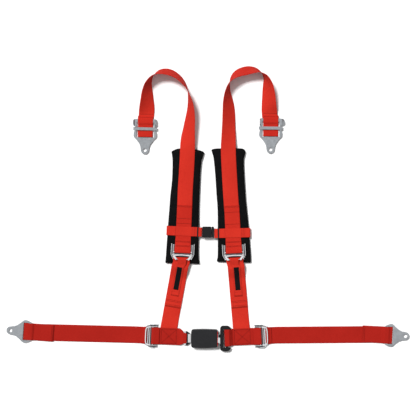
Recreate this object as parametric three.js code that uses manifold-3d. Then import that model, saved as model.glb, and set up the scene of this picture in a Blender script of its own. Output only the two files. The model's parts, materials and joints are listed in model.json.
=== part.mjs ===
// A four-point racing harness, laid out flat on its back. Millimetres, +Z up, the wearer's side down.
// +X runs along the lap belt and +Y towards the shoulder loops.
// The origin is the bottom centre of the whole layout.
import * as THREE from "three";
import { mergeVertices } from "three/addons/utils/BufferGeometryUtils.js";
import Module from "manifold-3d";

const wasm = await Module();
wasm.setup();

// ---------------------------------------------------------------- driving dimensions

const gap = 0.3; // between pieces that touch
const webWidth = 50.8; // 2 inch webbing
const webThick = 1.5;
const layerPitch = 1.9; // height of one sewn webbing layer above the next
const smallWebWidth = 28; // sternum strap
const smallWebThick = 1.2;
const tabWidth = 25.4; // 1 inch pull tab
const tabThick = 1;
const labelWidth = 15.4;
const labelThick = 0.8;

const padThick = 14;
const padShell = 1.6;
const padTop = padThick + gap; // what lies on a pad starts here

const bracketBase = 2.4; // underside of the bracket plate, clear of the webbing under it
const bracketPlate = 3;
const bracketTop = bracketBase + bracketPlate;
const boltRadius = 5.75;

const lapHalfLength = 609.6; // tip to tip of the lap brackets is 1219.2

// Where each piece of hardware lies: its middle and the direction of its own +Y.
// splay leans a shoulder bracket's ears outwards, in degrees: its left ear, then its right one.
const brackets = {
  left_shoulder: { x: -191.2, y: 175.7, turn: -1.3, tailEnd: 103, splay: [20, 0] },
  right_shoulder: { x: 189.1, y: 177.9, turn: -0.6, tailEnd: 103, splay: [0, 55] },
  left_lap: { x: -(lapHalfLength - 12), y: -369.7, turn: -94, tailEnd: 131 },
  right_lap: { x: lapHalfLength - 12, y: -387.2, turn: 86.9, tailEnd: 131 },
};
const adjusters = {
  left_shoulder: { x: -76.7, y: -132.5, z: padTop, turn: -2.7, railEnd: 24 },
  right_shoulder: { x: 78.2, y: -133.5, z: padTop, turn: 2.8, railEnd: 24 },
  left_lap: { x: -168.5, y: -385.5, z: 0, turn: -92.5, railEnd: 17 },
  right_lap: { x: 158.8, y: -386.8, z: 0, turn: 92.5, railEnd: 17 },
};

// Adjuster, in its own frame: x across, y towards the adjustable strap, z from its base.
const rail = { outside: 35, inside: 27.5, wall: 1.5, height: 11 };
const frontBar = { y: -19, z: 4, radius: 2 };
const middleBar = { y: 1, z: 6.3, radius: 2.2 };
const leverPin = { y: -8, z: 6.5, radius: 2 };

// Bracket, in its own frame: the bolt hole is at 0, 0 and the strap leaves along +y.
// The window starts at windowFrom and ends at the end bar.
const noseRadius = 12;
const windowFrom = 38;
const windowHalfWidth = 26.5;
const slideBar = { y: 64.3, halfWidth: 4.5, thick: 3 };
const endBars = {
  shoulder: { from: 84, to: 94 },
  lap: { from: 54.5, to: 63.5 },
};

// Buckle and tongue lie along X on this line.
const buckleY = -393.2;
const buckle = { left: -51.8, right: 28.5, halfWidth: 28.5, height: 26, wall: 2.2 };
const anchorZ = { from: 5, to: 8 };
const tongueZ = { from: 10.8, to: 13.3 };
const eyeBar = { left: -74, right: -66.8 }; // the part of the eye that the left lap strap goes round
const tongueBar = { left: 53, right: 61, halfWidth: 28, from: 9.3, to: 14.8 };

// Shoulder straps past the pads: x, y, height of the lower edge, lean in degrees.
// The strap stands on edge round the bend and leans past upright there.
const loopRoutes = {
  left: [
    [-70.4, 0, padTop, 0],
    [-68.5, 55, padTop, 0],
    [-64.7, 116, padTop, 0],
    [-62.4, 160, padTop, 0],
    [-61.5, 187, padTop, 4],
    [-60.2, 212, 8, 19],
    [-57.6, 237, 3, 35],
    [-54.5, 264, 0.6, 47],
    [-52.6, 288, 0, 58],
    [-52.6, 307, 0, 67],
    [-54.8, 325, 0, 76],
    [-57.9, 340, 0, 84],
    [-61.5, 354, 0, 92],
    [-71.5, 374, 0, 103],
    [-85.1, 390.5, 0, 111],
    [-100.3, 402.1, 0, 116],
    [-115.4, 409, 0, 119],
    [-130.6, 411.5, 0, 118],
    [-145.7, 409.6, 0, 112],
    [-159.5, 403, 0, 99],
    [-169, 394, 0, 88],
    [-175.9, 381.5, 0, 76],
    [-180.3, 366, 0, 62],
    [-182.7, 345, 0, 48],
    [-183.4, 325, 0, 37],
    [-184.5, 304, 0, 19],
    [-186.3, 284, 0, 3],
    [-188.1, 268, 0, 0],
  ],
  right: [
    [70.9, 0, padTop, 0],
    [67.3, 55, padTop, 0],
    [63.8, 116, padTop, 0],
    [61.6, 160, padTop, 0],
    [61.4, 187, padTop, 3],
    [61.9, 212, 9, 14],
    [62.4, 240, 4, 24],
    [62.9, 268, 1, 31],
    [62.6, 295, 0, 38],
    [61.2, 318.8, 0, 48],
    [60.2, 336.9, 0, 59],
    [60.4, 352, 0, 70],
    [62.4, 366, 0, 80],
    [66.5, 379, 0, 92],
    [74, 391.5, 0, 107],
    [84, 401.5, 0, 119],
    [97, 409, 0, 126],
    [112, 413.4, 0, 129],
    [127, 415.8, 0, 126],
    [142, 415.2, 0, 117],
    [155.5, 410.8, 0, 103],
    [166.3, 402.3, 0, 90],
    [174.8, 389.5, 0, 73],
    [180.6, 366, 0, 52],
    [183, 338, 0, 38],
    [184.2, 312, 0, 26],
    [186.2, 288, 0, 7],
    [188.3, 268, 0, 0],
  ],
};

// Outlines of the pads, clockwise from the upper left corner. The corners flare.
const padOutlines = {
  left: {
    outer: [
      [-110.9, 173.3], [-107.3, 145], [-109.4, 85], [-116.4, 25],
      [-123.9, -84], [-128, -148], [-130, -167.5],
    ],
    inner: [[-24.5, -170.6], [-27.8, -148], [-27, -80], [-24.4, 25], [-22, 105], [-17.5, 150], [-9.4, 171.8]],
    head: [[-36, 179.6], [-62, 182], [-92, 181.5]],
  },
  right: {
    outer: [[8.8, 178.6], [15.8, 156], [21, 105], [24.6, 40], [27.9, -20], [29, -140], [24.8, -164]],
    inner: [
      [130.6, -166.5], [129.8, -140], [123.3, -51], [114.8, 40],
      [109.3, 115], [109, 152], [114.8, 173.8],
    ],
    head: [[104, 182], [66, 182.5], [24, 182]],
  },
};

const chestStraps = {
  left: { x: -82.2, y: -162, turn: -10.3, length: 218 },
  right: { x: 83.4, y: -162, turn: 5, length: 229 },
};
const sternumStraps = {
  left: { x: -72, y: -69.5, turn: -2.6, padInner: -26.1, padOuter: -122.8 },
  right: { x: 75, y: -74.8, turn: 1.4, padInner: 28.4, padOuter: 125.2 },
};
const clip = { y: -72, z: 16.2, halfWidth: 16.5, halfThick: 4.6, left: -18.5, split: 10.3, right: 19.4 };

// ---------------------------------------------------------------- materials

const finishes = {
  webbing: { color: 0xcd322a, roughness: 0.75, metalness: 0 },
  pad: { color: 0x101012, roughness: 0.95, metalness: 0 },
  foam: { color: 0x3a3a3c, roughness: 0.95, metalness: 0 },
  label: { color: 0x0c0c0e, roughness: 0.8, metalness: 0 },
  zinc: { color: 0x9da3a8, roughness: 0.45, metalness: 1 },
  chrome: { color: 0xd0d3d8, roughness: 0.15, metalness: 1 },
  steel: { color: 0xb8bbc0, roughness: 0.25, metalness: 1 },
  housing: { color: 0x26272a, roughness: 0.45, metalness: 0 },
  overmould: { color: 0x17181a, roughness: 0.55, metalness: 0 },
  button: { color: 0xc41e22, roughness: 0.4, metalness: 0 },
};
const materials = {};
for (const [name, look] of Object.entries(finishes)) {
  materials[name] = new THREE.MeshStandardMaterial({ name, ...look });
}

// ---------------------------------------------------------------- solids

function solidOf(geometry) {
  const bare = geometry.index ? geometry.toNonIndexed() : geometry.clone();
  bare.deleteAttribute("normal");
  bare.deleteAttribute("uv");
  const merged = mergeVertices(bare, 1e-4);
  return new wasm.Manifold(
    new wasm.Mesh({
      numProp: 3,
      vertProperties: merged.attributes.position.array,
      triVerts: new Uint32Array(merged.index.array),
    }),
  );
}

function geometryOf(solid) {
  const mesh = solid.getMesh();
  const geometry = new THREE.BufferGeometry();
  geometry.setAttribute("position", new THREE.BufferAttribute(mesh.vertProperties, 3));
  geometry.setIndex(new THREE.BufferAttribute(mesh.triVerts, 1));
  geometry.computeVertexNormals();
  return geometry;
}

function join(...geometries) {
  return geometryOf(geometries.map(solidOf).reduce((whole, part) => whole.add(part)));
}

function cut(geometry, ...tools) {
  return geometryOf(tools.map(solidOf).reduce((whole, tool) => whole.subtract(tool), solidOf(geometry)));
}

function common(geometry, tool) {
  return geometryOf(solidOf(geometry).intersect(solidOf(tool)));
}

// A box between two corners.
function block(x0, x1, y0, y1, z0, z1) {
  const box = new THREE.BoxGeometry(x1 - x0, y1 - y0, z1 - z0);
  return box.translate((x0 + x1) / 2, (y0 + y1) / 2, (z0 + z1) / 2);
}

// An outline in the XY plane, raised from z0 to z1.
function prism(shape, z0, z1, curveSegments = 8) {
  const settings = { depth: z1 - z0, bevelEnabled: false, curveSegments };
  return new THREE.ExtrudeGeometry(shape, settings).translate(0, 0, z0);
}

// A side view drawn in y and z, made solid from x0 to x1.
function sideProfile(shape, x0, x1) {
  const settings = { depth: x1 - x0, bevelEnabled: false, curveSegments: 6 };
  const geometry = new THREE.ExtrudeGeometry(shape, settings).translate(0, 0, x0);
  const turn = new THREE.Matrix4().set(0, 0, 1, 0, 1, 0, 0, 0, 0, 1, 0, 0, 0, 0, 0, 1);
  return geometry.applyMatrix4(turn);
}

// A round bar along X.
function barAlongX(x0, x1, y, z, radius, sides = 12) {
  const bar = new THREE.CylinderGeometry(radius, radius, x1 - x0, sides).rotateZ(Math.PI / 2);
  return bar.translate((x0 + x1) / 2, y, z);
}

function polygon(points) {
  return new THREE.Shape(points.map(([x, y]) => new THREE.Vector2(x, y)));
}

function roundedBox(x0, x1, y0, y1, radius) {
  const shape = new THREE.Shape();
  shape.moveTo(x0 + radius, y0);
  shape.lineTo(x1 - radius, y0);
  shape.quadraticCurveTo(x1, y0, x1, y0 + radius);
  shape.lineTo(x1, y1 - radius);
  shape.quadraticCurveTo(x1, y1, x1 - radius, y1);
  shape.lineTo(x0 + radius, y1);
  shape.quadraticCurveTo(x0, y1, x0, y1 - radius);
  shape.lineTo(x0, y0 + radius);
  shape.quadraticCurveTo(x0, y0, x0 + radius, y0);
  return shape;
}

// ---------------------------------------------------------------- webbing

// The middle line of a folded strap seen from the side. Each corner may have a radius as its third number.
function foldLine(corners) {
  const path = new THREE.Path();
  path.moveTo(corners[0][0], corners[0][1]);
  for (let i = 1; i < corners.length - 1; i++) {
    const [y, z, radius = 3] = corners[i];
    const here = new THREE.Vector2(y, z);
    const before = new THREE.Vector2(...corners[i - 1]).sub(here);
    const after = new THREE.Vector2(...corners[i + 1]).sub(here);
    const start = before.setLength(Math.min(radius, before.length() / 2)).add(here);
    const end = after.setLength(Math.min(radius, after.length() / 2)).add(here);
    path.lineTo(start.x, start.y);
    path.quadraticCurveTo(y, z, end.x, end.y);
  }
  const last = corners[corners.length - 1];
  path.lineTo(last[0], last[1]);
  return path.getPoints(3).filter((p, i, all) => i === 0 || p.distanceTo(all[i - 1]) > 0.05);
}

// The outline of a strap of the given thickness about its middle line.
function thicken(line, thickness) {
  const above = [];
  const below = [];
  line.forEach((point, i) => {
    const back = line[Math.max(i - 1, 0)];
    const ahead = line[Math.min(i + 1, line.length - 1)];
    const towards = new THREE.Vector2().subVectors(ahead, point).normalize();
    const from = new THREE.Vector2().subVectors(point, back).normalize();
    const along = towards.clone().add(from).normalize();
    const bend = Math.max(along.dot(i === 0 ? towards : from), 0.5);
    const side = new THREE.Vector2(-along.y, along.x).multiplyScalar(thickness / 2 / bend);
    above.push(point.clone().add(side));
    below.push(point.clone().sub(side));
  });
  return new THREE.Shape([...above, ...below.reverse()]);
}

// A folded strap: its side view drawn in y and z, as wide as the webbing.
function foldedStrap(corners, width = webWidth, thickness = webThick, shift = 0) {
  return sideProfile(thicken(foldLine(corners), thickness), shift - width / 2, shift + width / 2);
}

// Frames of a strap that runs over the ground on a curved route and leans as it goes: its middle,
// the way across it and the way its face looks.
function leaningFrames(stations, hand, steps) {
  const route = new THREE.CatmullRomCurve3(
    stations.map(([x, y, base]) => new THREE.Vector3(x, y, base)), false, "catmullrom", 0.5);
  const leans = new THREE.CatmullRomCurve3(
    stations.map((station) => new THREE.Vector3(station[3], 0, 0)), false, "catmullrom", 0.5);
  return Array.from({ length: steps + 1 }, (_, i) => {
    const t = i / steps;
    const lean = THREE.MathUtils.degToRad(leans.getPoint(t).x);
    const along = route.getTangent(t).setZ(0).normalize();
    const lift = (webWidth * Math.abs(Math.sin(lean)) + webThick * Math.abs(Math.cos(lean))) / 2;
    const place = route.getPoint(t);
    return {
      middle: new THREE.Vector3(place.x, place.y, Math.max(place.z, 0) + lift),
      across: new THREE.Vector3(-along.y, along.x, 0).applyAxisAngle(along, hand * lean),
      face: new THREE.Vector3(0, 0, 1).applyAxisAngle(along, hand * lean),
    };
  });
}

// A leaning strap made solid. Both faces are split along the same diagonals, so the strap keeps its
// thickness where it twists.
function leaningStrap(stations, hand) {
  const steps = 2 * (stations.length - 1);
  const panels = 4;
  const frames = leaningFrames(stations, hand, steps);
  const corners = [];
  for (const height of [-webThick / 2, webThick / 2]) {
    for (const { middle, across, face } of frames) {
      for (let j = 0; j <= panels; j++) {
        const corner = middle.clone().addScaledVector(across, webWidth * (j / panels - 0.5));
        corners.push(corner.addScaledVector(face, height));
      }
    }
  }
  const corner = (layer, i, j) => (layer * (steps + 1) + i) * (panels + 1) + j;
  const triangles = [];
  const quad = (a, b, c, d) => triangles.push(a, b, c, a, c, d);
  for (let i = 0; i < steps; i++) {
    for (let j = 0; j < panels; j++) {
      quad(corner(1, i, j), corner(1, i + 1, j), corner(1, i + 1, j + 1), corner(1, i, j + 1));
      quad(corner(0, i + 1, j + 1), corner(0, i + 1, j), corner(0, i, j), corner(0, i, j + 1));
    }
    quad(corner(0, i, 0), corner(0, i + 1, 0), corner(1, i + 1, 0), corner(1, i, 0));
    quad(corner(0, i + 1, panels), corner(0, i, panels), corner(1, i, panels), corner(1, i + 1, panels));
  }
  for (let j = 0; j < panels; j++) {
    quad(corner(0, 0, j), corner(1, 0, j), corner(1, 0, j + 1), corner(0, 0, j + 1));
    quad(corner(0, steps, j), corner(0, steps, j + 1), corner(1, steps, j + 1), corner(1, steps, j));
  }
  const geometry = new THREE.BufferGeometry().setFromPoints(corners);
  geometry.setIndex(triangles);
  return geometry;
}

// ---------------------------------------------------------------- assembly helpers

const harness = new THREE.Group();

function placeOf({ x, y, z = 0, turn }) {
  const place = new THREE.Group();
  place.position.set(x, y, z);
  place.rotation.z = THREE.MathUtils.degToRad(turn);
  place.updateMatrix();
  return place;
}

function addPart(group, name, geometry, material) {
  const mesh = new THREE.Mesh(geometry, materials[material]);
  mesh.name = name;
  group.add(mesh);
  return mesh;
}

// The same shape, moved from a piece of hardware's own frame to the layout's.
function inLayout(place, geometry) {
  return geometry.applyMatrix4(placeOf(place).matrix);
}

// ---------------------------------------------------------------- bolt-in bracket

// Right halves of the two outlines, from the nose up.
const bracketOutlines = {
  shoulder: [
    [12.2, 0], [13.4, 10], [17.5, 20], [26, 31], [33.5, 38.5], [35, 43], [34.6, 50],
    [33, 57.2], [30.2, 57.2], [30.2, 71.6], [33.5, 71.6], [33.5, 90], [31, endBars.shoulder.to],
  ],
  lap: [
    [12.2, 0], [13.4, 10], [17, 19], [25, 29.5], [31.8, 36.5], [34.3, 41.5], [34.2, 47],
    [31.8, 54], [28.6, 60.5], [26, endBars.lap.to],
  ],
};

function bracketPlateSolid(kind) {
  const half = bracketOutlines[kind];
  const shape = new THREE.Shape();
  shape.moveTo(...half[0]);
  half.slice(1).forEach(([x, y]) => shape.lineTo(x, y));
  half.slice().reverse().forEach(([x, y]) => shape.lineTo(-x, y));
  shape.absarc(0, 0, noseRadius, Math.PI, 2 * Math.PI, false);
  const bolt = new THREE.Path().absarc(0, 0, boltRadius, 0, 2 * Math.PI, true);
  const window = roundedBox(-windowHalfWidth, windowHalfWidth, windowFrom, endBars[kind].from, 2);
  shape.holes.push(bolt, new THREE.Path(window.getPoints(3)));
  return prism(shape, bracketBase, bracketTop, 8);
}

// An ear stands up from the outer edge of a rail and leans outwards by splay degrees.
function bracketEar(side, splay) {
  const rise = 8;
  const outline = new THREE.Shape();
  outline.moveTo(72.5, 0);
  outline.lineTo(93, 0);
  outline.lineTo(93, bracketPlate + 1);
  outline.quadraticCurveTo(91, bracketPlate + rise, 84, bracketPlate + rise);
  outline.lineTo(80, bracketPlate + rise);
  outline.quadraticCurveTo(74, bracketPlate + rise - 1, 72.5, bracketPlate + 1);
  const ear = sideProfile(outline, -1.2, 1.2);
  ear.rotateY(side * THREE.MathUtils.degToRad(splay));
  return ear.translate(side * 32.2, 0, bracketBase);
}

// The bar lies on the rails and its ends hook down into their notches.
function slideBarGeometry() {
  const { y, halfWidth, thick } = slideBar;
  const z0 = bracketTop + gap;
  const body = block(-36, 36, y - halfWidth, y + halfWidth, z0, z0 + thick);
  const hookHalf = halfWidth - 1.2;
  const hooks = [-1, 1].map((side) => (
    block(-1.5, 1.5, y - hookHalf, y + hookHalf, bracketBase, z0 + 1).translate(side * 32.5, 0, 0)
  ));
  return join(body, ...hooks);
}

// Webbing round the end bar: under the bracket, up at its window and back over the end bar.
function bracketLoop({ tailEnd }, { from, to }, runEnd) {
  const ground = webThick / 2;
  const inside = 3.25;
  const over = bracketTop + gap + webThick / 2;
  return foldedStrap([
    [runEnd, ground],
    [windowFrom + 2.2, ground, 1.2],
    [windowFrom + 2.2, inside, 1.2],
    [from - 8, inside, 3],
    [from - 2.5, over, 2.5],
    [to + 2, over, 3],
    [to + 7, ground + layerPitch, 2],
    [tailEnd, ground + layerPitch],
  ]);
}

for (const [name, place] of Object.entries(brackets)) {
  const group = placeOf(place);
  if (place.splay) {
    const ears = [bracketEar(-1, place.splay[0]), bracketEar(1, place.splay[1])];
    addPart(group, `${name}_bracket`, join(bracketPlateSolid("shoulder"), ...ears), "zinc");
    addPart(group, `${name}_slide_bar`, slideBarGeometry(), "zinc");
  } else {
    addPart(group, `${name}_bracket`, bracketPlateSolid("lap"), "zinc");
  }
  harness.add(group);
}

// ---------------------------------------------------------------- lift-lever adjuster

const railFloor = 2;

// A rail seen from the side, no higher than top.
function railSide(railEnd, top) {
  return polygon([
    [-23, 0], [railEnd, 0], [railEnd, Math.min(top, 3.2)], [4, top], [-17, top], [-23, Math.min(top, 7)],
  ]);
}

function adjusterFrameGeometry(railEnd) {
  const { outside, inside, wall } = rail;
  const pieces = [
    block(-29, 29, -13, railEnd - 1, 0, railFloor),
    barAlongX(-28.5, 28.5, frontBar.y, frontBar.z, frontBar.radius),
    barAlongX(-28.5, 28.5, middleBar.y, middleBar.z, middleBar.radius),
  ];
  for (const side of [-1, 1]) {
    const walls = [inside + wall / 2, outside - wall / 2];
    for (const middle of walls) {
      const edge = sideProfile(railSide(railEnd, rail.height), -wall / 2, wall / 2);
      pieces.push(edge.translate(side * middle, 0, 0));
    }
    const half = (outside - inside - 1) / 2;
    const floor = sideProfile(railSide(railEnd, railFloor), -half, half);
    pieces.push(floor.translate((side * (inside + outside)) / 2, 0, 0));
  }
  const hole = barAlongX(-31, 31, leverPin.y, leverPin.z, leverPin.radius + gap);
  return cut(join(...pieces), hole);
}

function adjusterPinGeometry() {
  const { y, z, radius } = leverPin;
  const reach = rail.inside + rail.wall;
  return join(
    barAlongX(-reach - 1.5, reach + 1.5, y, z, radius),
    barAlongX(-reach - 2, -reach - gap, y, z, 3),
    barAlongX(reach + gap, reach + 2, y, z, 3),
  );
}

function adjusterLeverGeometry() {
  const { y, z, radius } = leverPin;
  const halfWidth = rail.inside - 0.5;
  const lip = polygon([
    [y + 1.5, z + 2.6], [y - 2.5, z + 2.2], [-16.5, 9.4], [-16.5, 11.4], [-12, 12.2], [y, 11],
  ]);
  const lug = polygon([
    [-15.5, 9.3], [-15.5, 11.6], [-22, 11.7], [-23.4, 10.9], [-23.4, 9.9], [-22, 9.3],
  ]);
  const solid = join(
    barAlongX(-halfWidth, halfWidth, y, z, 4, 16),
    sideProfile(lip, -halfWidth, halfWidth),
    sideProfile(lug, -24, -15),
    sideProfile(lug, 15, 24),
    barAlongX(-16, 16, -21, 10.5, 1, 8),
  );
  return cut(solid, barAlongX(-40, 40, y, z, radius + gap));
}

for (const [name, place] of Object.entries(adjusters)) {
  const group = placeOf(place);
  addPart(group, `${name}_adjuster_frame`, adjusterFrameGeometry(place.railEnd), "chrome");
  addPart(group, `${name}_adjuster_lever`, adjusterLeverGeometry(), "chrome");
  addPart(group, `${name}_adjuster_pin`, adjusterPinGeometry(), "steel");
  harness.add(group);
}

// ---------------------------------------------------------------- straps at an adjuster

// The adjustable strap: in over the base plate, round the middle bar, and back on top as the tail.
function adjusterHairpin(runCorners, tailCorners) {
  const reach = middleBar.radius + gap + webThick / 2;
  const low = middleBar.z - reach;
  const high = middleBar.z + reach;
  const turnY = middleBar.y - reach;
  return foldedStrap([
    ...runCorners,
    [middleBar.y + 4, low, 2],
    [turnY, low, 3],
    [turnY, high, 3],
    [middleBar.y + 3, high, 3],
    ...tailCorners,
  ]);
}

// The fixed strap: round the front bar, its two ends side by side towards -y.
function frontBarLoop(upperEnd, lowerEnd, shift = 0) {
  const reach = frontBar.radius + gap + webThick / 2;
  const low = webThick / 2;
  return foldedStrap([
    [lowerEnd, low],
    [frontBar.y - 3, low + 0.05, 1],
    [frontBar.y + reach, frontBar.z - reach, 3],
    [frontBar.y + reach, frontBar.z + reach, 3],
    [frontBar.y - 1, frontBar.z + reach, 3],
    [frontBar.y - 10, low + layerPitch, 3],
    [upperEnd, low + layerPitch],
  ], webWidth, webThick, shift);
}

// ---------------------------------------------------------------- shoulder straps

for (const side of ["left", "right"]) {
  const adjuster = adjusters[`${side}_shoulder`];
  const bracket = brackets[`${side}_shoulder`];
  const onPad = webThick / 2;
  const hairpin = adjusterHairpin(
    [[143, onPad], [40, onPad, 10], [24, 3.3, 6]],
    [[34, onPad + layerPitch, 12], [142, onPad + layerPitch]],
  );
  const hand = side === "left" ? -1 : 1;
  const strap = join(
    inLayout(adjuster, hairpin),
    leaningStrap(loopRoutes[side], hand),
    inLayout(bracket, bracketLoop(bracket, endBars.shoulder, 96)),
  );
  addPart(harness, `${side}_shoulder_strap`, strap, "webbing");
}

// ---------------------------------------------------------------- shoulder pads

// The pad seen from above, its edge moved in by inset.
function padShape({ outer, inner, head }, inset) {
  const middle = (outer[0][0] + inner[inner.length - 1][0]) / 2;
  const points = (list) => list.map(([x, y]) => {
    const endInset = Math.abs(y) > 150 ? inset : 0;
    return new THREE.Vector2(x + Math.sign(middle - x) * inset, y - Math.sign(y) * endInset);
  });
  const outside = points(outer);
  const inside = points(inner);
  const shape = new THREE.Shape();
  shape.moveTo(outside[0].x, outside[0].y);
  shape.splineThru(outside.slice(1));
  shape.lineTo(inside[0].x, inside[0].y);
  shape.splineThru(inside.slice(1));
  shape.splineThru([...points(head), outside[0]]);
  return shape;
}

// The sternum strap passes under the pad in a shallow groove.
function sternumGroove(strap) {
  const half = smallWebWidth / 2 + gap;
  return inLayout(strap, block(-80, 80, -half, half, -1, smallWebThick + 2 * gap));
}

for (const side of ["left", "right"]) {
  const outline = padOutlines[side];
  const tail = outline.inner[0][0] / 2 + outline.outer[outline.outer.length - 1][0] / 2;
  const hollow = prism(padShape(outline, padShell), padShell + 0.9, padThick - padShell, 4);
  const mouth = block(tail - 22, tail + 22, -180, -150, 6, 9);
  const groove = sternumGroove(sternumStraps[side]);
  const cover = cut(prism(padShape(outline, 0), 0, padThick, 4), hollow, groove, mouth);
  addPart(harness, `${side}_pad_cover`, cover, "pad");
  const core = prism(padShape(outline, padShell + gap), padShell + 0.9 + gap, padThick - padShell - gap, 4);
  addPart(harness, `${side}_pad_foam`, core, "foam");
}

// ---------------------------------------------------------------- chest straps

// Heights of a chest strap along its length: on the pad, down past its end, and into the lap strap.
// lift raises a layer that lies on another one.
function chestRun(length, lift) {
  const low = webThick / 2 + lift;
  return [[0, padTop + low], [-20, padTop + low, 6], [-50, low, 10], [-length, low]];
}

for (const side of ["left", "right"]) {
  const strap = chestStraps[side];
  const adjuster = adjusters[`${side}_shoulder`];
  const sewnIn = layerPitch + webThick / 2;
  const entry = -strap.length + (side === "left" ? 24 : 36);
  const lower = [
    ...chestRun(strap.length, 0).slice(0, 3),
    [entry + 14, webThick / 2, 5], [entry, sewnIn, 5], [-strap.length, sewnIn],
  ];
  const overlapEnd = 140;
  const chest = join(
    inLayout(adjuster, frontBarLoop(-36, -36, side === "left" ? -2 : 1.5)),
    inLayout(strap, foldedStrap(lower)),
    inLayout(strap, foldedStrap(chestRun(overlapEnd, layerPitch))),
  );
  addPart(harness, `${side}_chest_strap`, chest, "webbing");
}

// ---------------------------------------------------------------- pull tabs and their labels

for (const side of ["left", "right"]) {
  const strap = chestStraps[side];
  const adjuster = adjusters[`${side}_shoulder`];
  const reach = 1 + gap + tabThick / 2;
  const barY = -21;
  const barZ = 10.5;
  const loop = foldedStrap([
    [barY - 9, barZ - reach - 1.6],
    [barY - 3, barZ - reach, 2],
    [barY + reach, barZ - reach, 1.8],
    [barY + reach, barZ + reach, 1.8],
    [barY - 2, barZ + reach, 2],
    [barY - 12, 8.2, 3],
    [barY - 17, 5.6],
  ], tabWidth, tabThick);
  const lift = 2 * layerPitch - (webThick - tabThick) / 2 + 0.1;
  const onPad = padTop + webThick / 2 + lift;
  const run = foldedStrap([
    [-6, onPad + 1.4], [-20, onPad + 0.2, 6], [-50, webThick / 2 + lift, 10], [-105, webThick / 2 + lift],
  ], tabWidth, tabThick);
  addPart(harness, `${side}_pull_tab`, join(inLayout(adjuster, loop), inLayout(strap, run)), "webbing");
  const labelLift = lift + tabThick / 2 + gap + labelThick / 2;
  const labelOnPad = padTop + webThick / 2 + labelLift;
  const label = foldedStrap([
    [-16, labelOnPad + 0.4], [-20, labelOnPad + 0.2, 3], [-50, webThick / 2 + labelLift, 10],
    [-86, webThick / 2 + labelLift],
  ], labelWidth, labelThick);
  const group = placeOf(strap);
  addPart(group, `${side}_pull_tab_label`, label, "label");
  harness.add(group);
}

// ---------------------------------------------------------------- sternum straps

for (const side of ["left", "right"]) {
  const strap = sternumStraps[side];
  const out = side === "left" ? -1 : 1;
  const half = smallWebThick / 2;
  const edgeOut = (strap.padOuter - strap.x) * out + gap + half + 1;
  const edgeIn = (strap.padInner - strap.x) * out - gap - half - 0.6;
  const linkEnd = (side === "left" ? clip.left : clip.right) * out - strap.x * out;
  const overStrap = padTop + webThick + layerPitch + gap + half;
  // Drawn for a strap whose outside is towards +y, then turned so that it points away from the other pad.
  const line = [
    [linkEnd - 0.4, clip.z], [edgeIn + 8, clip.z, 4], [-34, clip.z, 5],
    [-28.5, overStrap, 5], [28.5, overStrap, 5],
    [36, padTop + half + 0.2, 5], [edgeOut, padTop + half + 0.2, 3], [edgeOut, half, 3],
    [edgeIn, half, 3], [edgeIn, 12.8],
  ];
  const turned = { ...strap, turn: strap.turn + (side === "left" ? 90 : -90) };
  const loop = inLayout(turned, foldedStrap(line, smallWebWidth, smallWebThick));
  addPart(harness, `${side}_sternum_strap`, loop, "webbing");
}

// A flat black slide with the webbing through it.
for (const side of ["left", "right"]) {
  const strap = sternumStraps[side];
  const out = side === "left" ? -1 : 1;
  const x = out * 31.2;
  const y = strap.y + (x - strap.x) * Math.tan(THREE.MathUtils.degToRad(strap.turn));
  const group = placeOf({ x, y, turn: strap.turn });
  const half = smallWebWidth / 2;
  const body = block(-1.9, 1.9, -half - 3, half + 3, padTop, clip.z + 2.4);
  const reach = smallWebThick / 2 + gap;
  const slot = block(-5, 5, -half - 0.6, half + 0.6, clip.z - reach, clip.z + reach);
  addPart(group, `${side}_sternum_keeper`, cut(body, slot), "overmould");
  harness.add(group);
}

// ---------------------------------------------------------------- sternum clip

{
  const { y, z, halfWidth, halfThick, left, split, right } = clip;
  const group = placeOf({ x: 0, y, z, turn: 0 });
  const shell = prism(roundedBox(left + 1, split, -halfWidth, halfWidth, 4), -halfThick, halfThick);
  const hollow = block(left + 6, split + 1, -11.6, 11.6, -halfThick + 1.5, halfThick - 1.5);
  const windowsBothSides = block(-5.5, 4, -halfWidth - 1, halfWidth + 1, -2.4, 2.4);
  addPart(group, "sternum_clip_female", cut(shell, hollow, windowsBothSides), "overmould");
  const base = prism(roundedBox(split + 0.5, right - 1.3, -halfWidth, halfWidth, 3), -halfThick, halfThick);
  const guide = block(-9, split + 2, -1.6, 1.6, -2, 2);
  const roots = [-1, 1].map((s) => block(split - 3, split + 2, -1, 1, -2, 2).translate(0, 5 * s, 0));
  addPart(group, "sternum_clip_male", join(base, guide, ...roots), "overmould");
  for (const [name, s] of [["upper", 1], ["lower", -1]]) {
    const prong = polygon([
      [split - 3.6, s * 4], [split - 3.6, s * 6.4], [2, s * 9.6], [-5, s * 10.2],
      [-9.5, s * 6.6], [-9.5, s * 5.2], [0, s * 5],
    ]);
    addPart(group, `sternum_prong_${name}`, prism(prong, -2, 2), "overmould");
  }
  harness.add(group);
}

// ---------------------------------------------------------------- lap straps

for (const side of ["left", "right"]) {
  const bracket = brackets[`${side}_lap`];
  const adjuster = adjusters[`${side}_lap`];
  // The long run, from the bracket's loop to the adjuster's front bar loop.
  const loopEnd = 90;
  const from = new THREE.Vector3(0, loopEnd, 0).applyMatrix4(placeOf(bracket).matrix);
  const to = new THREE.Vector3(0, -48, 0).applyMatrix4(placeOf(adjuster).matrix);
  const length = from.distanceTo(to);
  const turn = THREE.MathUtils.radToDeg(Math.atan2(to.y - from.y, to.x - from.x)) - 90;
  const run = foldedStrap([[-3, webThick / 2], [length + 3, webThick / 2]]);
  const outer = join(
    inLayout(bracket, bracketLoop(bracket, endBars.lap, loopEnd + 4)),
    inLayout({ x: from.x, y: from.y, turn }, run),
    inLayout(adjuster, frontBarLoop(-34, -52)),
  );
  addPart(harness, `${side}_lap_strap_outer`, outer, "webbing");
}

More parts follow.
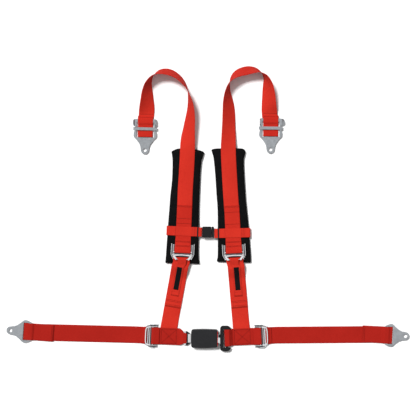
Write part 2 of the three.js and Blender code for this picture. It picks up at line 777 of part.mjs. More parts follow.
// The inner lap strap, from the adjuster's middle bar to a fitting and back under itself.
// fitting gives the fold round the buckle's eye or the tongue, in the adjuster's own frame.
function innerLapStrap(sandwich, fitting) {
  const low = webThick / 2;
  const top = low + 2 * layerPitch;
  return adjusterHairpin(
    [
      [sandwich.from, low], [sandwich.to, low, 3], ...fitting.under, ...fitting.over,
      [sandwich.to, top, 3], [22, top, 3], [17, 3.2, 3],
    ],
    [[15, top + layerPitch + 0.6, 4], [22, top + layerPitch]],
  );
}

{
  const adjuster = adjusters.left_lap;
  const eye = (eyeBar.right - adjuster.x) / Math.cos(THREE.MathUtils.degToRad(adjuster.turn + 90));
  const reach = gap + webThick / 2;
  const turnAt = eye + reach + 0.7; // the strap meets the eye a little askew
  const barFoot = eye - (eyeBar.right - eyeBar.left) - 2;
  const under = [[barFoot, anchorZ.from - reach, 2], [turnAt, anchorZ.from - reach, 1]];
  const over = [[turnAt, anchorZ.to + reach, 1], [barFoot, anchorZ.to + reach, 2]];
  const strap = innerLapStrap({ from: 21, to: 80 }, { under, over });
  // The webbing is gathered where it passes through the eye.
  const plan = polygon([
    [-40, -40], [40, -40], [40, eye - 20], [25.6, eye - 20], [18.5, eye - 4], [18.5, eye + 10],
    [-11.5, eye + 10], [-11.5, eye - 4], [-25.6, eye - 20], [-40, eye - 20],
  ]);
  addPart(harness, "left_lap_strap_inner", inLayout(adjuster, common(strap, prism(plan, -5, 40))), "webbing");
}

{
  const adjuster = adjusters.right_lap;
  const slot = (adjuster.x - tongueBar.left) / Math.cos(THREE.MathUtils.degToRad(adjuster.turn - 90));
  const reach = gap + webThick / 2;
  const turnAt = slot + reach + 1.2; // the strap meets the tongue a little askew
  const barFoot = slot - (tongueBar.right - tongueBar.left) - 2.5;
  const under = [[barFoot, tongueBar.from - reach, 2], [turnAt, tongueBar.from - reach, 1]];
  const over = [[turnAt, tongueBar.to + reach, 1], [barFoot, tongueBar.to + reach, 2]];
  const strap = innerLapStrap({ from: 22, to: 84 }, { under, over });
  addPart(harness, "right_lap_strap_inner", inLayout(adjuster, strap), "webbing");
}

// ---------------------------------------------------------------- tongue

{
  const group = placeOf({ x: 0, y: buckleY, turn: 0 });
  const slot = roundedBox(46.6, tongueBar.left, -tongueBar.halfWidth, tongueBar.halfWidth, 1.5);
  const blade = new THREE.Shape();
  blade.moveTo(-18, -10);
  blade.lineTo(-15, -12.5);
  blade.lineTo(30, -12.5);
  blade.quadraticCurveTo(36, -13, 38, -22);
  blade.lineTo(40, -33);
  blade.lineTo(58.5, -33);
  blade.lineTo(58.5, 33);
  blade.lineTo(40, 33);
  blade.lineTo(38, 22);
  blade.quadraticCurveTo(36, 13, 30, 12.5);
  blade.lineTo(-15, 12.5);
  blade.lineTo(-18, 10);
  blade.holes.push(new THREE.Path(roundedBox(-8, 5, -6, 6, 1.5).getPoints(3)));
  blade.holes.push(new THREE.Path(slot.getPoints(3)));
  addPart(group, "tongue_plate", prism(blade, tongueZ.from, tongueZ.to, 4), "steel");

  const half = 38.75;
  const dee = new THREE.Shape();
  dee.moveTo(41, -half);
  dee.lineTo(57, -half);
  dee.quadraticCurveTo(69, -half, 69, -half + 14);
  dee.lineTo(69, half - 14);
  dee.quadraticCurveTo(69, half, 57, half);
  dee.lineTo(41, half);
  dee.quadraticCurveTo(33, half, 33, half - 10);
  dee.lineTo(33, -half + 10);
  dee.quadraticCurveTo(33, -half, 41, -half);
  dee.holes.push(new THREE.Path(slot.getPoints(3)));
  const pocket = [
    block(32, 46.6, -34, 34, tongueZ.from - gap, tongueZ.to + gap),
    block(46, 58.8, -34, 34, tongueZ.from - gap, tongueZ.to + gap),
    block(tongueBar.right, 80, -tongueBar.halfWidth, tongueBar.halfWidth, 0, 30),
    block(tongueBar.left - 1, 80, -tongueBar.halfWidth, tongueBar.halfWidth, tongueBar.to, 30),
    block(tongueBar.left - 1, 80, -tongueBar.halfWidth, tongueBar.halfWidth, 0, tongueBar.from),
  ];
  addPart(group, "tongue_cover", cut(prism(dee, 7.8, 16.3, 6), ...pocket), "overmould");
  harness.add(group);
}

// ---------------------------------------------------------------- buckle

{
  const { left, right, halfWidth, height, wall } = buckle;
  const group = placeOf({ x: 0, y: buckleY, turn: 0 });
  const outline = roundedBox(left, right, -halfWidth, halfWidth, 6);
  const inside = roundedBox(left + wall, right - wall, -halfWidth + wall, halfWidth - wall, 4);
  const seam = height / 2 - 0.4;

  const anchorSlot = block(left - 5, left + 12, -16, 16, anchorZ.from - gap, anchorZ.to + gap);
  const mouth = block(right - 8, right + 5, -14, 14, 9.8, 14.2);
  const buttonHole = block(right - 8, right + 5, -22.4, 22.4, 15.2, 22.8);
  const bottom = cut(prism(outline, 0, seam), prism(inside, 2.5, seam + 1), anchorSlot, mouth);
  const top = cut(prism(outline, seam + gap, height), prism(inside, seam, height - 2.5), mouth, buttonHole);
  addPart(group, "buckle_bottom_cover", bottom, "housing");
  addPart(group, "buckle_top_cover", top, "housing");

  // The eye plate that the left lap strap pulls on.
  const eye = new THREE.Shape();
  eye.moveTo(eyeBar.left + 3, -24);
  eye.lineTo(-66, -24);
  eye.quadraticCurveTo(-57, -22, -53, -15);
  eye.lineTo(-41, -15);
  eye.lineTo(-41, 15);
  eye.lineTo(-53, 15);
  eye.quadraticCurveTo(-57, 22, -66, 24);
  eye.lineTo(eyeBar.left + 3, 24);
  eye.quadraticCurveTo(eyeBar.left, 24, eyeBar.left, 21);
  eye.lineTo(eyeBar.left, -21);
  eye.quadraticCurveTo(eyeBar.left, -24, eyeBar.left + 3, -24);
  eye.holes.push(new THREE.Path(roundedBox(eyeBar.right, -60, -17, 17, 1.5).getPoints(3)));
  addPart(group, "buckle_anchor", prism(eye, anchorZ.from, anchorZ.to, 6), "steel");

  // A steel tray with side walls. The tongue slides on its floor.
  const floorZ = anchorZ.to + gap;
  const tray = join(
    block(-46, 22, -20, 20, floorZ, floorZ + 2),
    block(-46, 16, -22, -20, floorZ, floorZ + 12),
    block(-46, 16, 20, 22, floorZ, floorZ + 12),
    block(-46, -44, -21, 21, floorZ, floorZ + 6),
  );
  const pivot = { x: -14, z: 17.6 };
  const alongY = (y0, y1, x, z, radius, sides = 12) =>
    new THREE.CylinderGeometry(radius, radius, y1 - y0, sides).translate(x, (y0 + y1) / 2, z);
  addPart(group, "buckle_frame", cut(tray, alongY(-30, 30, pivot.x, pivot.z, 1.8)), "steel");
  addPart(group, "pawl_pin", alongY(-23, 23, pivot.x, pivot.z, 1.5), "steel");

  // The pawl hangs on its pin with its tooth over the tongue's window.
  const pawlSide = polygon([
    [-17, 15.4], [-17, 19.8], [10, 19.6], [12.5, 18.6], [12.5, 17.6],
    [3, 17], [3, 13.6], [-2, 13.6], [-4, 16], [-11, 15.4],
  ]);
  const pawlBody = new THREE.ExtrudeGeometry(pawlSide, { depth: 16, bevelEnabled: false });
  pawlBody.translate(0, 0, -8).rotateX(Math.PI / 2);
  addPart(group, "latch_pawl", cut(pawlBody, alongY(-20, 20, pivot.x, pivot.z, 1.8)), "steel");

  // The button's two legs reach under the pawl's nose beside the tongue.
  const button = join(
    block(right - 6.5, right + 0.7, -22, 22, 15.5, 22.5),
    block(13.4, right - 6, -12, -9.2, 15.5, 21),
    block(13.4, right - 6, 9.2, 12, 15.5, 21),
    block(13.4, 15.4, -12, 12, 15.5, 17.2),
  );
  addPart(group, "release_button", button, "button");

  addPart(group, "ejector", block(-30, -18.6, -11, 11, tongueZ.from, tongueZ.to + 1.2), "overmould");
  addPart(group, "ejector_spring", coilAlongX(-43.4, -30.6, 12.3, 1.7, 0.4, 4), "steel");
  addPart(group, "latch_spring", coilAlongX(15, 21.4, 13.1, 1.4, 0.35, 3).translate(0, 17.3, 0), "steel");
  harness.add(group);
}

// A compression spring along X, its middle line at height z.
function coilAlongX(x0, x1, z, radius, wire, turns) {
  class Coil extends THREE.Curve {
    getPoint(t) {
      const angle = 2 * Math.PI * turns * t;
      const x = x0 + wire + t * (x1 - x0 - 2 * wire);
      return new THREE.Vector3(x, radius * Math.cos(angle), z + radius * Math.sin(angle));
    }
  }
  const section = new THREE.Shape().absarc(0, 0, wire, 0, 2 * Math.PI, false);
  const settings = { steps: 8 * turns, extrudePath: new Coil(), bevelEnabled: false, curveSegments: 2 };
  return new THREE.ExtrudeGeometry(section, settings);
}

export default harness;
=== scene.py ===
import json
import math
from collections import namedtuple

import bmesh
import bpy
from mathutils import Matrix, Vector, noise
from mathutils.bvhtree import BVHTree


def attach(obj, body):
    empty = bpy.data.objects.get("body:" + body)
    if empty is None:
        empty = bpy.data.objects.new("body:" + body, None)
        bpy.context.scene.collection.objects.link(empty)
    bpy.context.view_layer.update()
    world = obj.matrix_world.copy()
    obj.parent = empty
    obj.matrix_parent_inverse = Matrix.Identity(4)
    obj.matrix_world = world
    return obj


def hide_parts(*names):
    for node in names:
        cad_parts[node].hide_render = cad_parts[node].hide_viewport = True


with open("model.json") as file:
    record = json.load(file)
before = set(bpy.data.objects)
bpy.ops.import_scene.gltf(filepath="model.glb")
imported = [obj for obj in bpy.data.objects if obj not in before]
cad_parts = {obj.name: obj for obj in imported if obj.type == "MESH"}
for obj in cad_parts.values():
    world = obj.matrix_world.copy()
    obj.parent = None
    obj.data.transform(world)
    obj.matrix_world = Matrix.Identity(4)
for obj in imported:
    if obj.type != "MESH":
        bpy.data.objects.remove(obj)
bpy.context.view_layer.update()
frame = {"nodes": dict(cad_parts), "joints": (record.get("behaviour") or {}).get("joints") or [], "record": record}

# ---------------------------------------------------------------- driving dimensions, millimetres

MM = 0.001
GAP = 0.3
WEB_WIDTH = 50.8
WEB_THICK = 1.5
LAYER = 1.9  # height of one sewn layer of webbing above the next
SMALL_WIDTH = 28
SMALL_THICK = 1.2
TAB_WIDTH = 25.4
TAB_THICK = 1.0
SHADED_FACE_MARK = 0.1  # metres added to a strap's way in from its edge in the UV map, to mark the face that the webbing material paints darker as painted shade
LABEL_WIDTH = 15.4
LABEL_THICK = 0.7
PAD_THICK = 14
PAD_TOP = PAD_THICK + GAP

BRACKET_TOP = 5.4
WINDOW_FROM = 38
END_BARS = {"shoulder": (84, 94), "lap": (54.5, 63.5)}
TAIL_ENDS = {"shoulder": 103, "lap": 131}

# Bars of an adjuster in its own frame: y, z, radius.
FRONT_BAR = (-19, 4, 2)
MIDDLE_BAR = (1, 6.3, 2.2)
LEVER_PIVOT = (0, -8, 6.5)

BUCKLE_Y = -393.2
ANCHOR_Z = (5, 8)
EYE_BAR = (-74, -66.8)
TONGUE_BAR = (53, 61)
TONGUE_BAR_Z = (9.3, 14.8)

# Shoulder straps past the pads: x, y, height of the lower edge, lean in degrees.
LOOP_ROUTES = {
    "left": [
        (-70.4, 0, PAD_TOP, 0), (-68.5, 55, PAD_TOP, 0), (-64.7, 116, PAD_TOP, 0),
        (-62.4, 160, PAD_TOP, 0), (-61.5, 187, PAD_TOP, 4), (-60.2, 212, 8, 19), (-57.6, 237, 3, 35),
        (-54.5, 264, 0.6, 47), (-52.6, 288, 0, 58), (-52.6, 307, 0, 67), (-54.8, 325, 0, 76),
        (-57.9, 340, 0, 84), (-61.5, 354, 0, 92), (-71.5, 374, 0, 103), (-85.1, 390.5, 0, 111),
        (-100.3, 402.1, 0, 116), (-115.4, 409, 0, 119), (-130.6, 411.5, 0, 118), (-145.7, 409.6, 0, 112),
        (-159.5, 403, 0, 99), (-169, 394, 0, 88), (-175.9, 381.5, 0, 76), (-180.3, 366, 0, 62),
        (-182.7, 345, 0, 48), (-183.4, 325, 0, 37), (-184.5, 304, 0, 19), (-186.3, 284, 0, 3),
        (-188.1, 268, 0, 0),
    ],
    "right": [
        (70.9, 0, PAD_TOP, 0), (67.3, 55, PAD_TOP, 0), (63.8, 116, PAD_TOP, 0), (61.6, 160, PAD_TOP, 0),
        (61.4, 187, PAD_TOP, 3), (61.9, 212, 9, 14), (62.4, 240, 4, 24), (62.9, 268, 1, 31),
        (62.6, 295, 0, 38), (61.2, 318.8, 0, 48), (60.2, 336.9, 0, 59), (60.4, 352, 0, 70),
        (62.4, 366, 0, 80), (66.5, 379, 0, 92), (74, 391.5, 0, 107), (84, 401.5, 0, 119),
        (97, 409, 0, 126), (112, 413.4, 0, 129), (127, 415.8, 0, 126), (142, 415.2, 0, 117),
        (155.5, 410.8, 0, 103), (166.3, 402.3, 0, 90), (174.8, 389.5, 0, 73), (180.6, 366, 0, 52),
        (183, 338, 0, 38), (184.2, 312, 0, 26), (186.2, 288, 0, 7), (188.3, 268, 0, 0),
    ],
}

# The four sides of each pad, seen from above.
PAD_SIDES = {
    "left": {
        "outer": [
            (-130, -167.5), (-128, -148), (-123.9, -84), (-116.4, 25), (-109.4, 85), (-107.3, 145),
            (-110.9, 173.3),
        ],
        "inner": [
            (-24.5, -170.6), (-27.8, -148), (-27, -80), (-24.4, 25), (-22, 105), (-17.5, 150), (-9.4, 171.8),
        ],
        "head": [(-110.9, 173.3), (-92, 181.5), (-62, 182), (-36, 179.6), (-9.4, 171.8)],
        "foot": [(-130, -167.5), (-24.5, -170.6)],
    },
    "right": {
        "outer": [
            (130.6, -166.5), (129.8, -140), (123.3, -51), (114.8, 40), (109.3, 115), (109, 152),
            (114.8, 173.8),
        ],
        "inner": [(24.8, -164), (29, -140), (27.9, -20), (24.6, 40), (21, 105), (15.8, 156), (8.8, 178.6)],
        "head": [(114.8, 173.8), (104, 182), (66, 182.5), (24, 182), (8.8, 178.6)],
        "foot": [(130.6, -166.5), (24.8, -164)],
    },
}

# Chest straps: x, y, turn, length. Sternum straps: x, y, turn, and the pad's two edges.
CHEST = {"left": (-82.2, -162, -10.3, 218), "right": (83.4, -162, 5, 229)}
STERNUM = {"left": (-72, -69.5, -2.6, -26.1, -122.8), "right": (75, -74.8, 1.4, 28.4, 125.2)}
CLIP_Z = 16.2
CLIP_ENDS = {"left": -18.5, "right": 19.4}

ABOVE_ALL = 90  # higher than anything on the layout

SIDES = ("left", "right")
OUTWARDS = {"left": -1, "right": 1}


# ---------------------------------------------------------------- places

def place_of(x, y, turn, z=0.0):
    """A frame on the layout, in millimetres and degrees."""
    return Matrix.Translation((x, y, z)) @ Matrix.Rotation(math.radians(turn), 4, "Z")


def adjuster_place(name):
    """An adjuster's own frame, from the hinge of its lever."""
    joint = next(j for j in frame["joints"] if j["name"] == f"{name}_lever_lift")
    pivot = Vector(joint["pos_m"]) / MM
    turn = math.degrees(math.atan2(-joint["axis"][1], -joint["axis"][0]))
    return place_of(pivot.x, pivot.y, turn, pivot.z) @ Matrix.Translation(-Vector(LEVER_PIVOT))


def bracket_place(name):
    """A bracket's own frame, from its bolt hole and the flat face beside the hole."""
    record = frame["record"]
    opening = next(o for o in record["physics"]["openings"] if o["name"] == f"{name}_bolt_hole")
    low, high = (Vector(corner) / MM for corner in opening["box_m"])
    hole = (low + high) / 2
    face = next(m for m in record["mounts"] if m["name"] == f"{name}_bracket_face")
    ahead = Vector(face["pos_m"]) / MM - hole
    turn = math.degrees(math.atan2(ahead.y, ahead.x)) - 90
    return place_of(hole.x, hole.y, turn)


ADJUSTERS = {f"{s}_{k}": adjuster_place(f"{s}_{k}") for s in SIDES for k in ("shoulder", "lap")}
BRACKETS = {f"{s}_{k}": bracket_place(f"{s}_{k}") for s in SIDES for k in ("shoulder", "lap")}


# ---------------------------------------------------------------- materials

class Graph:
    """Shader nodes. An input given a number or a colour keeps it, and one given an output is linked."""

    def __init__(self, tree):
        self.tree = tree
        tree.nodes.clear()

    def add(self, kind, inputs=None, **settings):
        node = self.tree.nodes.new("ShaderNode" + kind)
        for name, value in settings.items():
            setattr(node, name, value)
        for key, value in (inputs or {}).items():
            if isinstance(value, bpy.types.NodeSocket):
                self.tree.links.new(value, node.inputs[key])
            else:
                node.inputs[key].default_value = value
        return node

    def maths(self, operation, a, b=0.0):
        return self.add("Math", {0: a, 1: b}, operation=operation).outputs[0]

    def wave(self, value, length):
        """0 to 1 and back over each length."""
        angle = self.maths("MULTIPLY", value, 2 * math.pi / length)
        sine = self.maths("SINE", angle)
        return self.maths("ADD", self.maths("MULTIPLY", sine, 0.5), 0.5)

    def noise(self, vector, scale, detail, roughness):
        inputs = {"Vector": vector, "Scale": scale, "Detail": detail, "Roughness": roughness}
        return self.add("TexNoise", inputs).outputs[0]

    def cells(self, vector, scale):
        return self.add("TexVoronoi", {"Vector": vector, "Scale": scale}).outputs["Distance"]

    def place(self):
        """Where a point is on its object."""
        return self.add("TexCoord").outputs["Object"]

    def weave_map(self):
        """The UV map of a strap: the way in from its edge, and the way along it, in metres."""
        split = self.add("SeparateXYZ", {0: self.add("UVMap", uv_map="weave").outputs[0]})
        return split.outputs[0], split.outputs[1]

    def stretched(self, vector, amounts):
        return self.add("Mapping", {"Vector": vector, "Scale": amounts}).outputs[0]

    def ramp(self, value, *stops):
        """Colours or greys along a value. Each stop is a position and a colour."""
        node = self.add("ValToRGB", {0: value})
        elements = node.color_ramp.elements
        while len(elements) < len(stops):
            elements.new(0.5)
        for element, (position, colour) in zip(elements, stops):
            element.position = position
            grey = (colour, colour, colour) if isinstance(colour, (int, float)) else colour
            element.color = (*grey, 1)
        return node.outputs[0]

    def span(self, value, low, high):
        """Turns 0 to 1 into low to high."""
        return self.add("MapRange", {0: value, "To Min": low, "To Max": high}).outputs[0]

    def mix(self, share, a, b):
        return self.add("Mix", {0: share, 2: a, 3: b}, data_type="FLOAT").outputs[0]


class Look(Graph):
    """The nodes of one material."""

    def __init__(self, name):
        self.material = bpy.data.materials.new(name)
        self.material.use_nodes = True
        super().__init__(self.material.node_tree)

    def finish(self, colour, rough, height=None, depth=0.0, metal=0.0, specular=0.5):
        """The material, with a bump of the height's pattern, depth millimetres deep."""
        inputs = {"Base Color": colour, "Roughness": rough, "Metallic": metal, "Specular IOR Level": specular}
        if depth:
            inputs["Normal"] = self.add("Bump", {"Height": height, "Distance": depth * MM}).outputs[0]
        surface = self.add("BsdfPrincipled", inputs)
        self.add("OutputMaterial", {"Surface": surface.outputs["BSDF"]})
        return self.material


def webbing_look(name, dark, light):
    """Herringbone polyester webbing, with painted shade: the face that carries the UV mark is drawn darker."""
    look = Look(name)
    across, along = look.weave_map()
    shaded_face = look.maths("GREATER_THAN", across, SHADED_FACE_MARK / 2)
    inwards = look.maths("SUBTRACT", across, look.maths("MULTIPLY", shaded_face, SHADED_FACE_MARK))
    column = look.maths("FRACT", look.maths("DIVIDE", inwards, 6.35 * MM))
    slant = look.maths("ABSOLUTE", look.maths("SUBTRACT", column, 0.5))
    rib_place = look.maths("ADD", along, look.maths("MULTIPLY", slant, 7 * MM))
    ribs = look.wave(rib_place, 1.9 * MM)
    yarns = look.wave(inwards, 0.95 * MM)
    edge_ribs = look.wave(along, 1.2 * MM)
    body = look.mix(0.35, ribs, yarns)
    edge = look.maths("LESS_THAN", inwards, 2.1 * MM)
    weave = look.mix(edge, body, edge_ribs)
    spot = look.place()
    streaks = look.noise(spot, 260, 3, 0.6)
    patches = look.noise(spot, 14, 2, 0.5)
    shade = look.mix(0.45, weave, streaks)
    shade = look.mix(0.3, shade, patches)
    # Painted shade: the marked face is darkened.
    shade = look.maths("SUBTRACT", shade, look.maths("MULTIPLY", shaded_face, 0.13))
    colour = look.ramp(shade, (0.1, dark), (0.75, light))
    height = look.mix(0.2, weave, streaks)
    return look.finish(colour, look.span(weave, 0.9, 0.72), height, 0.22, specular=0.06)


def mesh_fabric_look():
    """Black spacer mesh: small round holes in a knitted face."""
    look = Look("pad_mesh_fabric")
    spot = look.place()
    holes = look.cells(spot, 430)
    open_mesh = look.ramp(holes, (0.25, 0.0), (0.55, 1.0))
    cloud = look.noise(spot, 30, 3, 0.6)
    fuzz = look.noise(spot, 1500, 2, 0.5)
    shade = look.mix(0.35, look.mix(0.4, open_mesh, fuzz), cloud)
    colour = look.ramp(shade, (0.15, (0.0015, 0.0015, 0.0016)), (0.85, (0.007, 0.007, 0.0075)))
    height = look.mix(0.3, open_mesh, fuzz)
    return look.finish(colour, look.span(fuzz, 0.82, 0.96), height, 0.35, specular=0.06)


def label_look():
    """A plain black woven label: fine satin ribs across, and no lettering."""
    look = Look("plain_label")
    across, along = look.weave_map()
    weave = look.mix(0.4, look.wave(along, 0.7 * MM), look.wave(across, 0.5 * MM))
    cloud = look.noise(look.place(), 60, 2, 0.5)
    shade = look.mix(0.4, weave, cloud)
    colour = look.ramp(shade, (0.2, (0.002, 0.002, 0.002)), (0.8, (0.008, 0.008, 0.009)))
    return look.finish(colour, look.span(weave, 0.6, 0.8), weave, 0.08, specular=0.08)


FIRST = (0, 0, 0)
SECOND = (0, 1, 1)


def field_look(name, fields, colour, rough, bump, metal=0.0, specular=0.5):
    """A material made of noise fields. A field is its scales along X, Y and Z, its detail and its roughness.

    colour, rough and bump each begin with what they mix: a share, and the numbers of two fields.
    The ends of the colour ramp follow, or the range of roughness, or the depth of the bump in millimetres.
    """
    look = Look(name)
    spot = look.place()
    noises = [look.noise(look.stretched(spot, scales), 1, detail, grit) for scales, detail, grit in fields]

    def mixed(share, first, second):
        return look.mix(share, noises[first], noises[second])

    ramp = look.ramp(mixed(*colour[0]), *colour[1:])
    roughness = look.span(mixed(*rough[0]), *rough[1:])
    return look.finish(ramp, roughness, mixed(*bump[0]), bump[1], metal, specular)


def even(scale):
    return (scale, scale, scale)


def thread_look(name, dark, light):
    """Twisted sewing thread."""
    ramp = (FIRST, (0.3, dark), (0.7, light))
    return field_look(name, [(even(2400), 2, 0.6)], ramp, (FIRST, 0.55, 0.75), (FIRST, 0.05), specular=0.15)


def plastic_look(name, dark, light, rough, grain_size, depth):
    """Moulded plastic with a spark-eroded grain and faint handling marks."""
    both = (0.5, 0, 1)
    return field_look(
        name,
        [(even(1000 / grain_size), 3, 0.6), (even(45), 4, 0.7)],
        (both, (0.25, dark), (0.75, light)),
        (both, rough - 0.08, rough + 0.1),
        (FIRST, depth),
        specular=0.24,
    )


WEBBING = webbing_look("red_webbing", (0.35, 0.012, 0.008), (0.62, 0.035, 0.020))
# The lap straps take a darker copy of the same red webbing: the darkening is painted shade.
SHADED_LAP_WEBBING = webbing_look("red_lap_webbing_painted_shade", (0.24, 0.009, 0.006), (0.40, 0.018, 0.012))
# The red thread is a darker red than the webbing, and is darkened further as painted shade of the dimples that the
# stitches press into the cloth.
SHADED_RED_THREAD = thread_look("red_thread_painted_shade", (0.04, 0.0015, 0.0015), (0.10, 0.003, 0.003))
BLACK_THREAD = thread_look("black_thread", (0.006, 0.006, 0.006), (0.03, 0.03, 0.032))
PAD_FABRIC = mesh_fabric_look()
# Black woven edge tape.
BINDING = field_look(
    "pad_binding",
    [((900, 900, 1800), 2, 0.6), (even(40), 2, 0.5)],
    ((0.4, 0, 1), (0.25, (0.002, 0.002, 0.002)), (0.8, (0.009, 0.009, 0.01))),
    (FIRST, 0.6, 0.85),
    (FIRST, 0.15),
    specular=0.15,
)
LABEL = label_look()
# Grey zinc plate on stamped steel: satin, slightly mottled, with fine rolling marks.
ZINC = field_look(
    "zinc_plate",
    [(even(120), 4, 0.65), ((60, 900, 200), 3, 0.6), (even(2600), 2, 0.5)],
    ((0.35, 0, 1), (0.3, (0.33, 0.35, 0.37)), (0.7, (0.52, 0.545, 0.57))),
    ((0.5, 0, 2), 0.36, 0.56),
    ((0.4, 2, 1), 0.03),
    metal=1.0,
)
# Bright chrome with faint swirls and dust in the finish.
CHROME = field_look(
    "bright_chrome",
    [((90, 500, 300), 3, 0.6), (even(700), 3, 0.6)],
    (FIRST, (0.3, (0.80, 0.81, 0.83)), (0.7, (0.94, 0.95, 0.97))),
    ((0.5, 0, 1), 0.07, 0.24),
    (FIRST, 0.01),
    metal=1.0,
)
# Bright plated steel with a fine brushed grain along X.
STEEL = field_look(
    "bright_steel",
    [((40, 1800, 600), 3, 0.6), (even(150), 3, 0.6)],
    ((0.4, 0, 1), (0.3, (0.68, 0.69, 0.7)), (0.7, (0.86, 0.87, 0.88))),
    (FIRST, 0.2, 0.38),
    (FIRST, 0.02),
    metal=1.0,
)
# Chrome plating on the plate and webs down in the adjuster channels: satin, with blotches in the plating, and its
# colour darkened well below the bright chrome as painted shade of those recesses.
RECESS_SHADE_CHROME = field_look(
    "chrome_painted_recess_shade",
    [(even(260), 4, 0.65), (even(2200), 2, 0.5)],
    (FIRST, (0.3, (0.16, 0.165, 0.175)), (0.7, (0.27, 0.275, 0.29))),
    ((0.5, 0, 1), 0.45, 0.62),
    (SECOND, 0.03),
    metal=1.0,
)
HOUSING = plastic_look("charcoal_housing", (0.007, 0.007, 0.008), (0.015, 0.015, 0.017), 0.4, 0.45, 0.04)
BLACK_PLASTIC = plastic_look("black_moulding", (0.003, 0.003, 0.0033), (0.008, 0.008, 0.009), 0.45, 0.4, 0.03)
BUTTON = plastic_look("red_button", (0.42, 0.012, 0.012), (0.6, 0.022, 0.02), 0.3, 0.8, 0.01)


# ---------------------------------------------------------------- mesh helpers

def make_object(name, points, faces, material, smooth=True):
    """A mesh object from points in millimetres."""
    mesh = bpy.data.meshes.new(name)
    mesh.from_pydata([Vector(p) * MM for p in points], [], faces)
    solid = bmesh.new()
    solid.from_mesh(mesh)
    bmesh.ops.recalc_face_normals(solid, faces=solid.faces)
    solid.to_mesh(mesh)
    solid.free()
    mesh.materials.append(material)
    if smooth:
        mesh.shade_smooth()
    else:
        mesh.shade_flat()
    piece = bpy.data.objects.new(name, mesh)
    bpy.context.scene.collection.objects.link(piece)
    return piece


def apply_modifiers(piece):
    """Bakes the modifiers into the mesh."""
    view = bpy.context.evaluated_depsgraph_get()
    mesh = bpy.data.meshes.new_from_object(piece.evaluated_get(view), depsgraph=view)
    piece.modifiers.clear()
    piece.data = mesh


def soften_edges(piece, width):
    """Rounds a piece's sharp edges. The CAD meshes come as loose triangles, so they are welded first."""
    weld = piece.modifiers.new("weld", "WELD")
    weld.merge_threshold = 0.01 * MM
    flat = piece.modifiers.new("flat", "DECIMATE")
    flat.decimate_type = "DISSOLVE"
    flat.angle_limit = math.radians(1)
    bevel = piece.modifiers.new("edges", "BEVEL")
    bevel.width = width * MM
    bevel.segments = 2
    bevel.limit_method = "ANGLE"
    bevel.angle_limit = math.radians(35)
    bevel.harden_normals = True
    piece.data.shade_smooth()


def assign(piece, body, slot, *nodes):
    """Puts a piece on its body, and in place of the CAD nodes that it stands for, which it hides. The slot is not
    used.
    """
    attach(piece, body)
    if nodes:
        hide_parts(*nodes)


def directions(points, closed=False):
    """The way along a line at each of its points."""
    before = [points[-1] if closed else points[0], *points[:-1]]
    after = [*points[1:], points[0] if closed else points[-1]]
    return [(b - a).normalized() for a, b in zip(before, after)]


def ring_faces(count, rings, closed=False):
    """Faces that join rings of points, one to the next, with a cap at each end unless the rings close up."""
    faces = []
    for ring in range(rings if closed else rings - 1):
        here = ring * count
        ahead = (ring + 1) % rings * count
        for k in range(count):
            following = (k + 1) % count
            faces.append((here + k, here + following, ahead + following, ahead + k))
    if not closed:
        faces.append(tuple(range(count)))
        faces.append(tuple(range((rings - 1) * count, rings * count)))
    return faces


def circle(centre, out, up, radius, sides):
    """Points once round a centre."""
    angles = [2 * math.pi * k / sides for k in range(sides)]
    return [centre + radius * (math.cos(a) * out + math.sin(a) * up) for a in angles]


def tube_shell(line, radius, sides=8, closed=False):
    """Points and faces of a round tube along a line of points in millimetres."""
    points = []
    for here, along in zip(line, directions(line, closed)):
        out = along.cross(Vector((0, 0, 1)))
        out = out.normalized() if out.length > 0.01 else Vector((1, 0, 0))
        points += circle(here, out, out.cross(along).normalized(), radius, sides)
    return points, ring_faces(sides, len(line), closed)


class Shells:
    """One object put together from closed shells, each with the first or the second of its materials."""

    def __init__(self, place):
        self.place = place
        self.points = []
        self.faces = []
        self.materials = []

    def add(self, points, faces, material=0):
        first = len(self.points)
        self.points.extend(self.place @ Vector(p) for p in points)
        self.faces.extend(tuple(first + k for k in face) for face in faces)
        self.materials.extend([material] * len(faces))

    def band(self, line, width, low, top=None, material=0):
        """A wall along a line in plan. Its points may have their own top heights."""
        plan = [Vector(corner[:2]) for corner in line]
        points = []
        for corner, here, along in zip(line, plan, directions(plan)):
            side = Vector((-along.y, along.x)) * (width / 2)
            high = corner[2] if top is None else top
            left = here + side
            right = here - side
            points += [(*left, low), (*left, high), (*right, high), (*right, low)]
        self.add(points, ring_faces(4, len(line)), material)

    def slab(self, outline, low, high, material=0):
        """A flat plate with a convex outline."""
        points = [(*p, z) for z in (low, high) for p in outline]
        self.add(points, ring_faces(len(outline), 2), material)

    def bar(self, half_length, y, z, radius):
        """A round bar along X."""
        line = [Vector((-half_length, y, z)), Vector((half_length, y, z))]
        self.add(*tube_shell(line, radius, sides=20))

    def finish(self, name, *materials, edge=0.3):
        piece = make_object(name, self.points, self.faces, materials[0])
        for extra in materials[1:]:
            piece.data.materials.append(extra)
        for polygon, material in zip(piece.data.polygons, self.materials):
            polygon.material_index = material
        soften_edges(piece, edge)
        return piece


def curve_through(points, steps):
    """A smooth curve through the points, of the Catmull-Rom kind."""
    places = [Vector(p) for p in points]
    first = places[0] * 2 - places[1]
    last = places[-1] * 2 - places[-2]
    padded = [first, *places, last]
    line = []
    for a, b, c, d in zip(padded, padded[1:], padded[2:], padded[3:]):
        for i in range(steps):
            t = i / steps
            square = (2 * a - 5 * b + 4 * c - d) * t ** 2
            cube = (3 * b - a - 3 * c + d) * t ** 3
            line.append(0.5 * (2 * b + (c - a) * t + square + cube))
    line.append(places[-1])
    return line


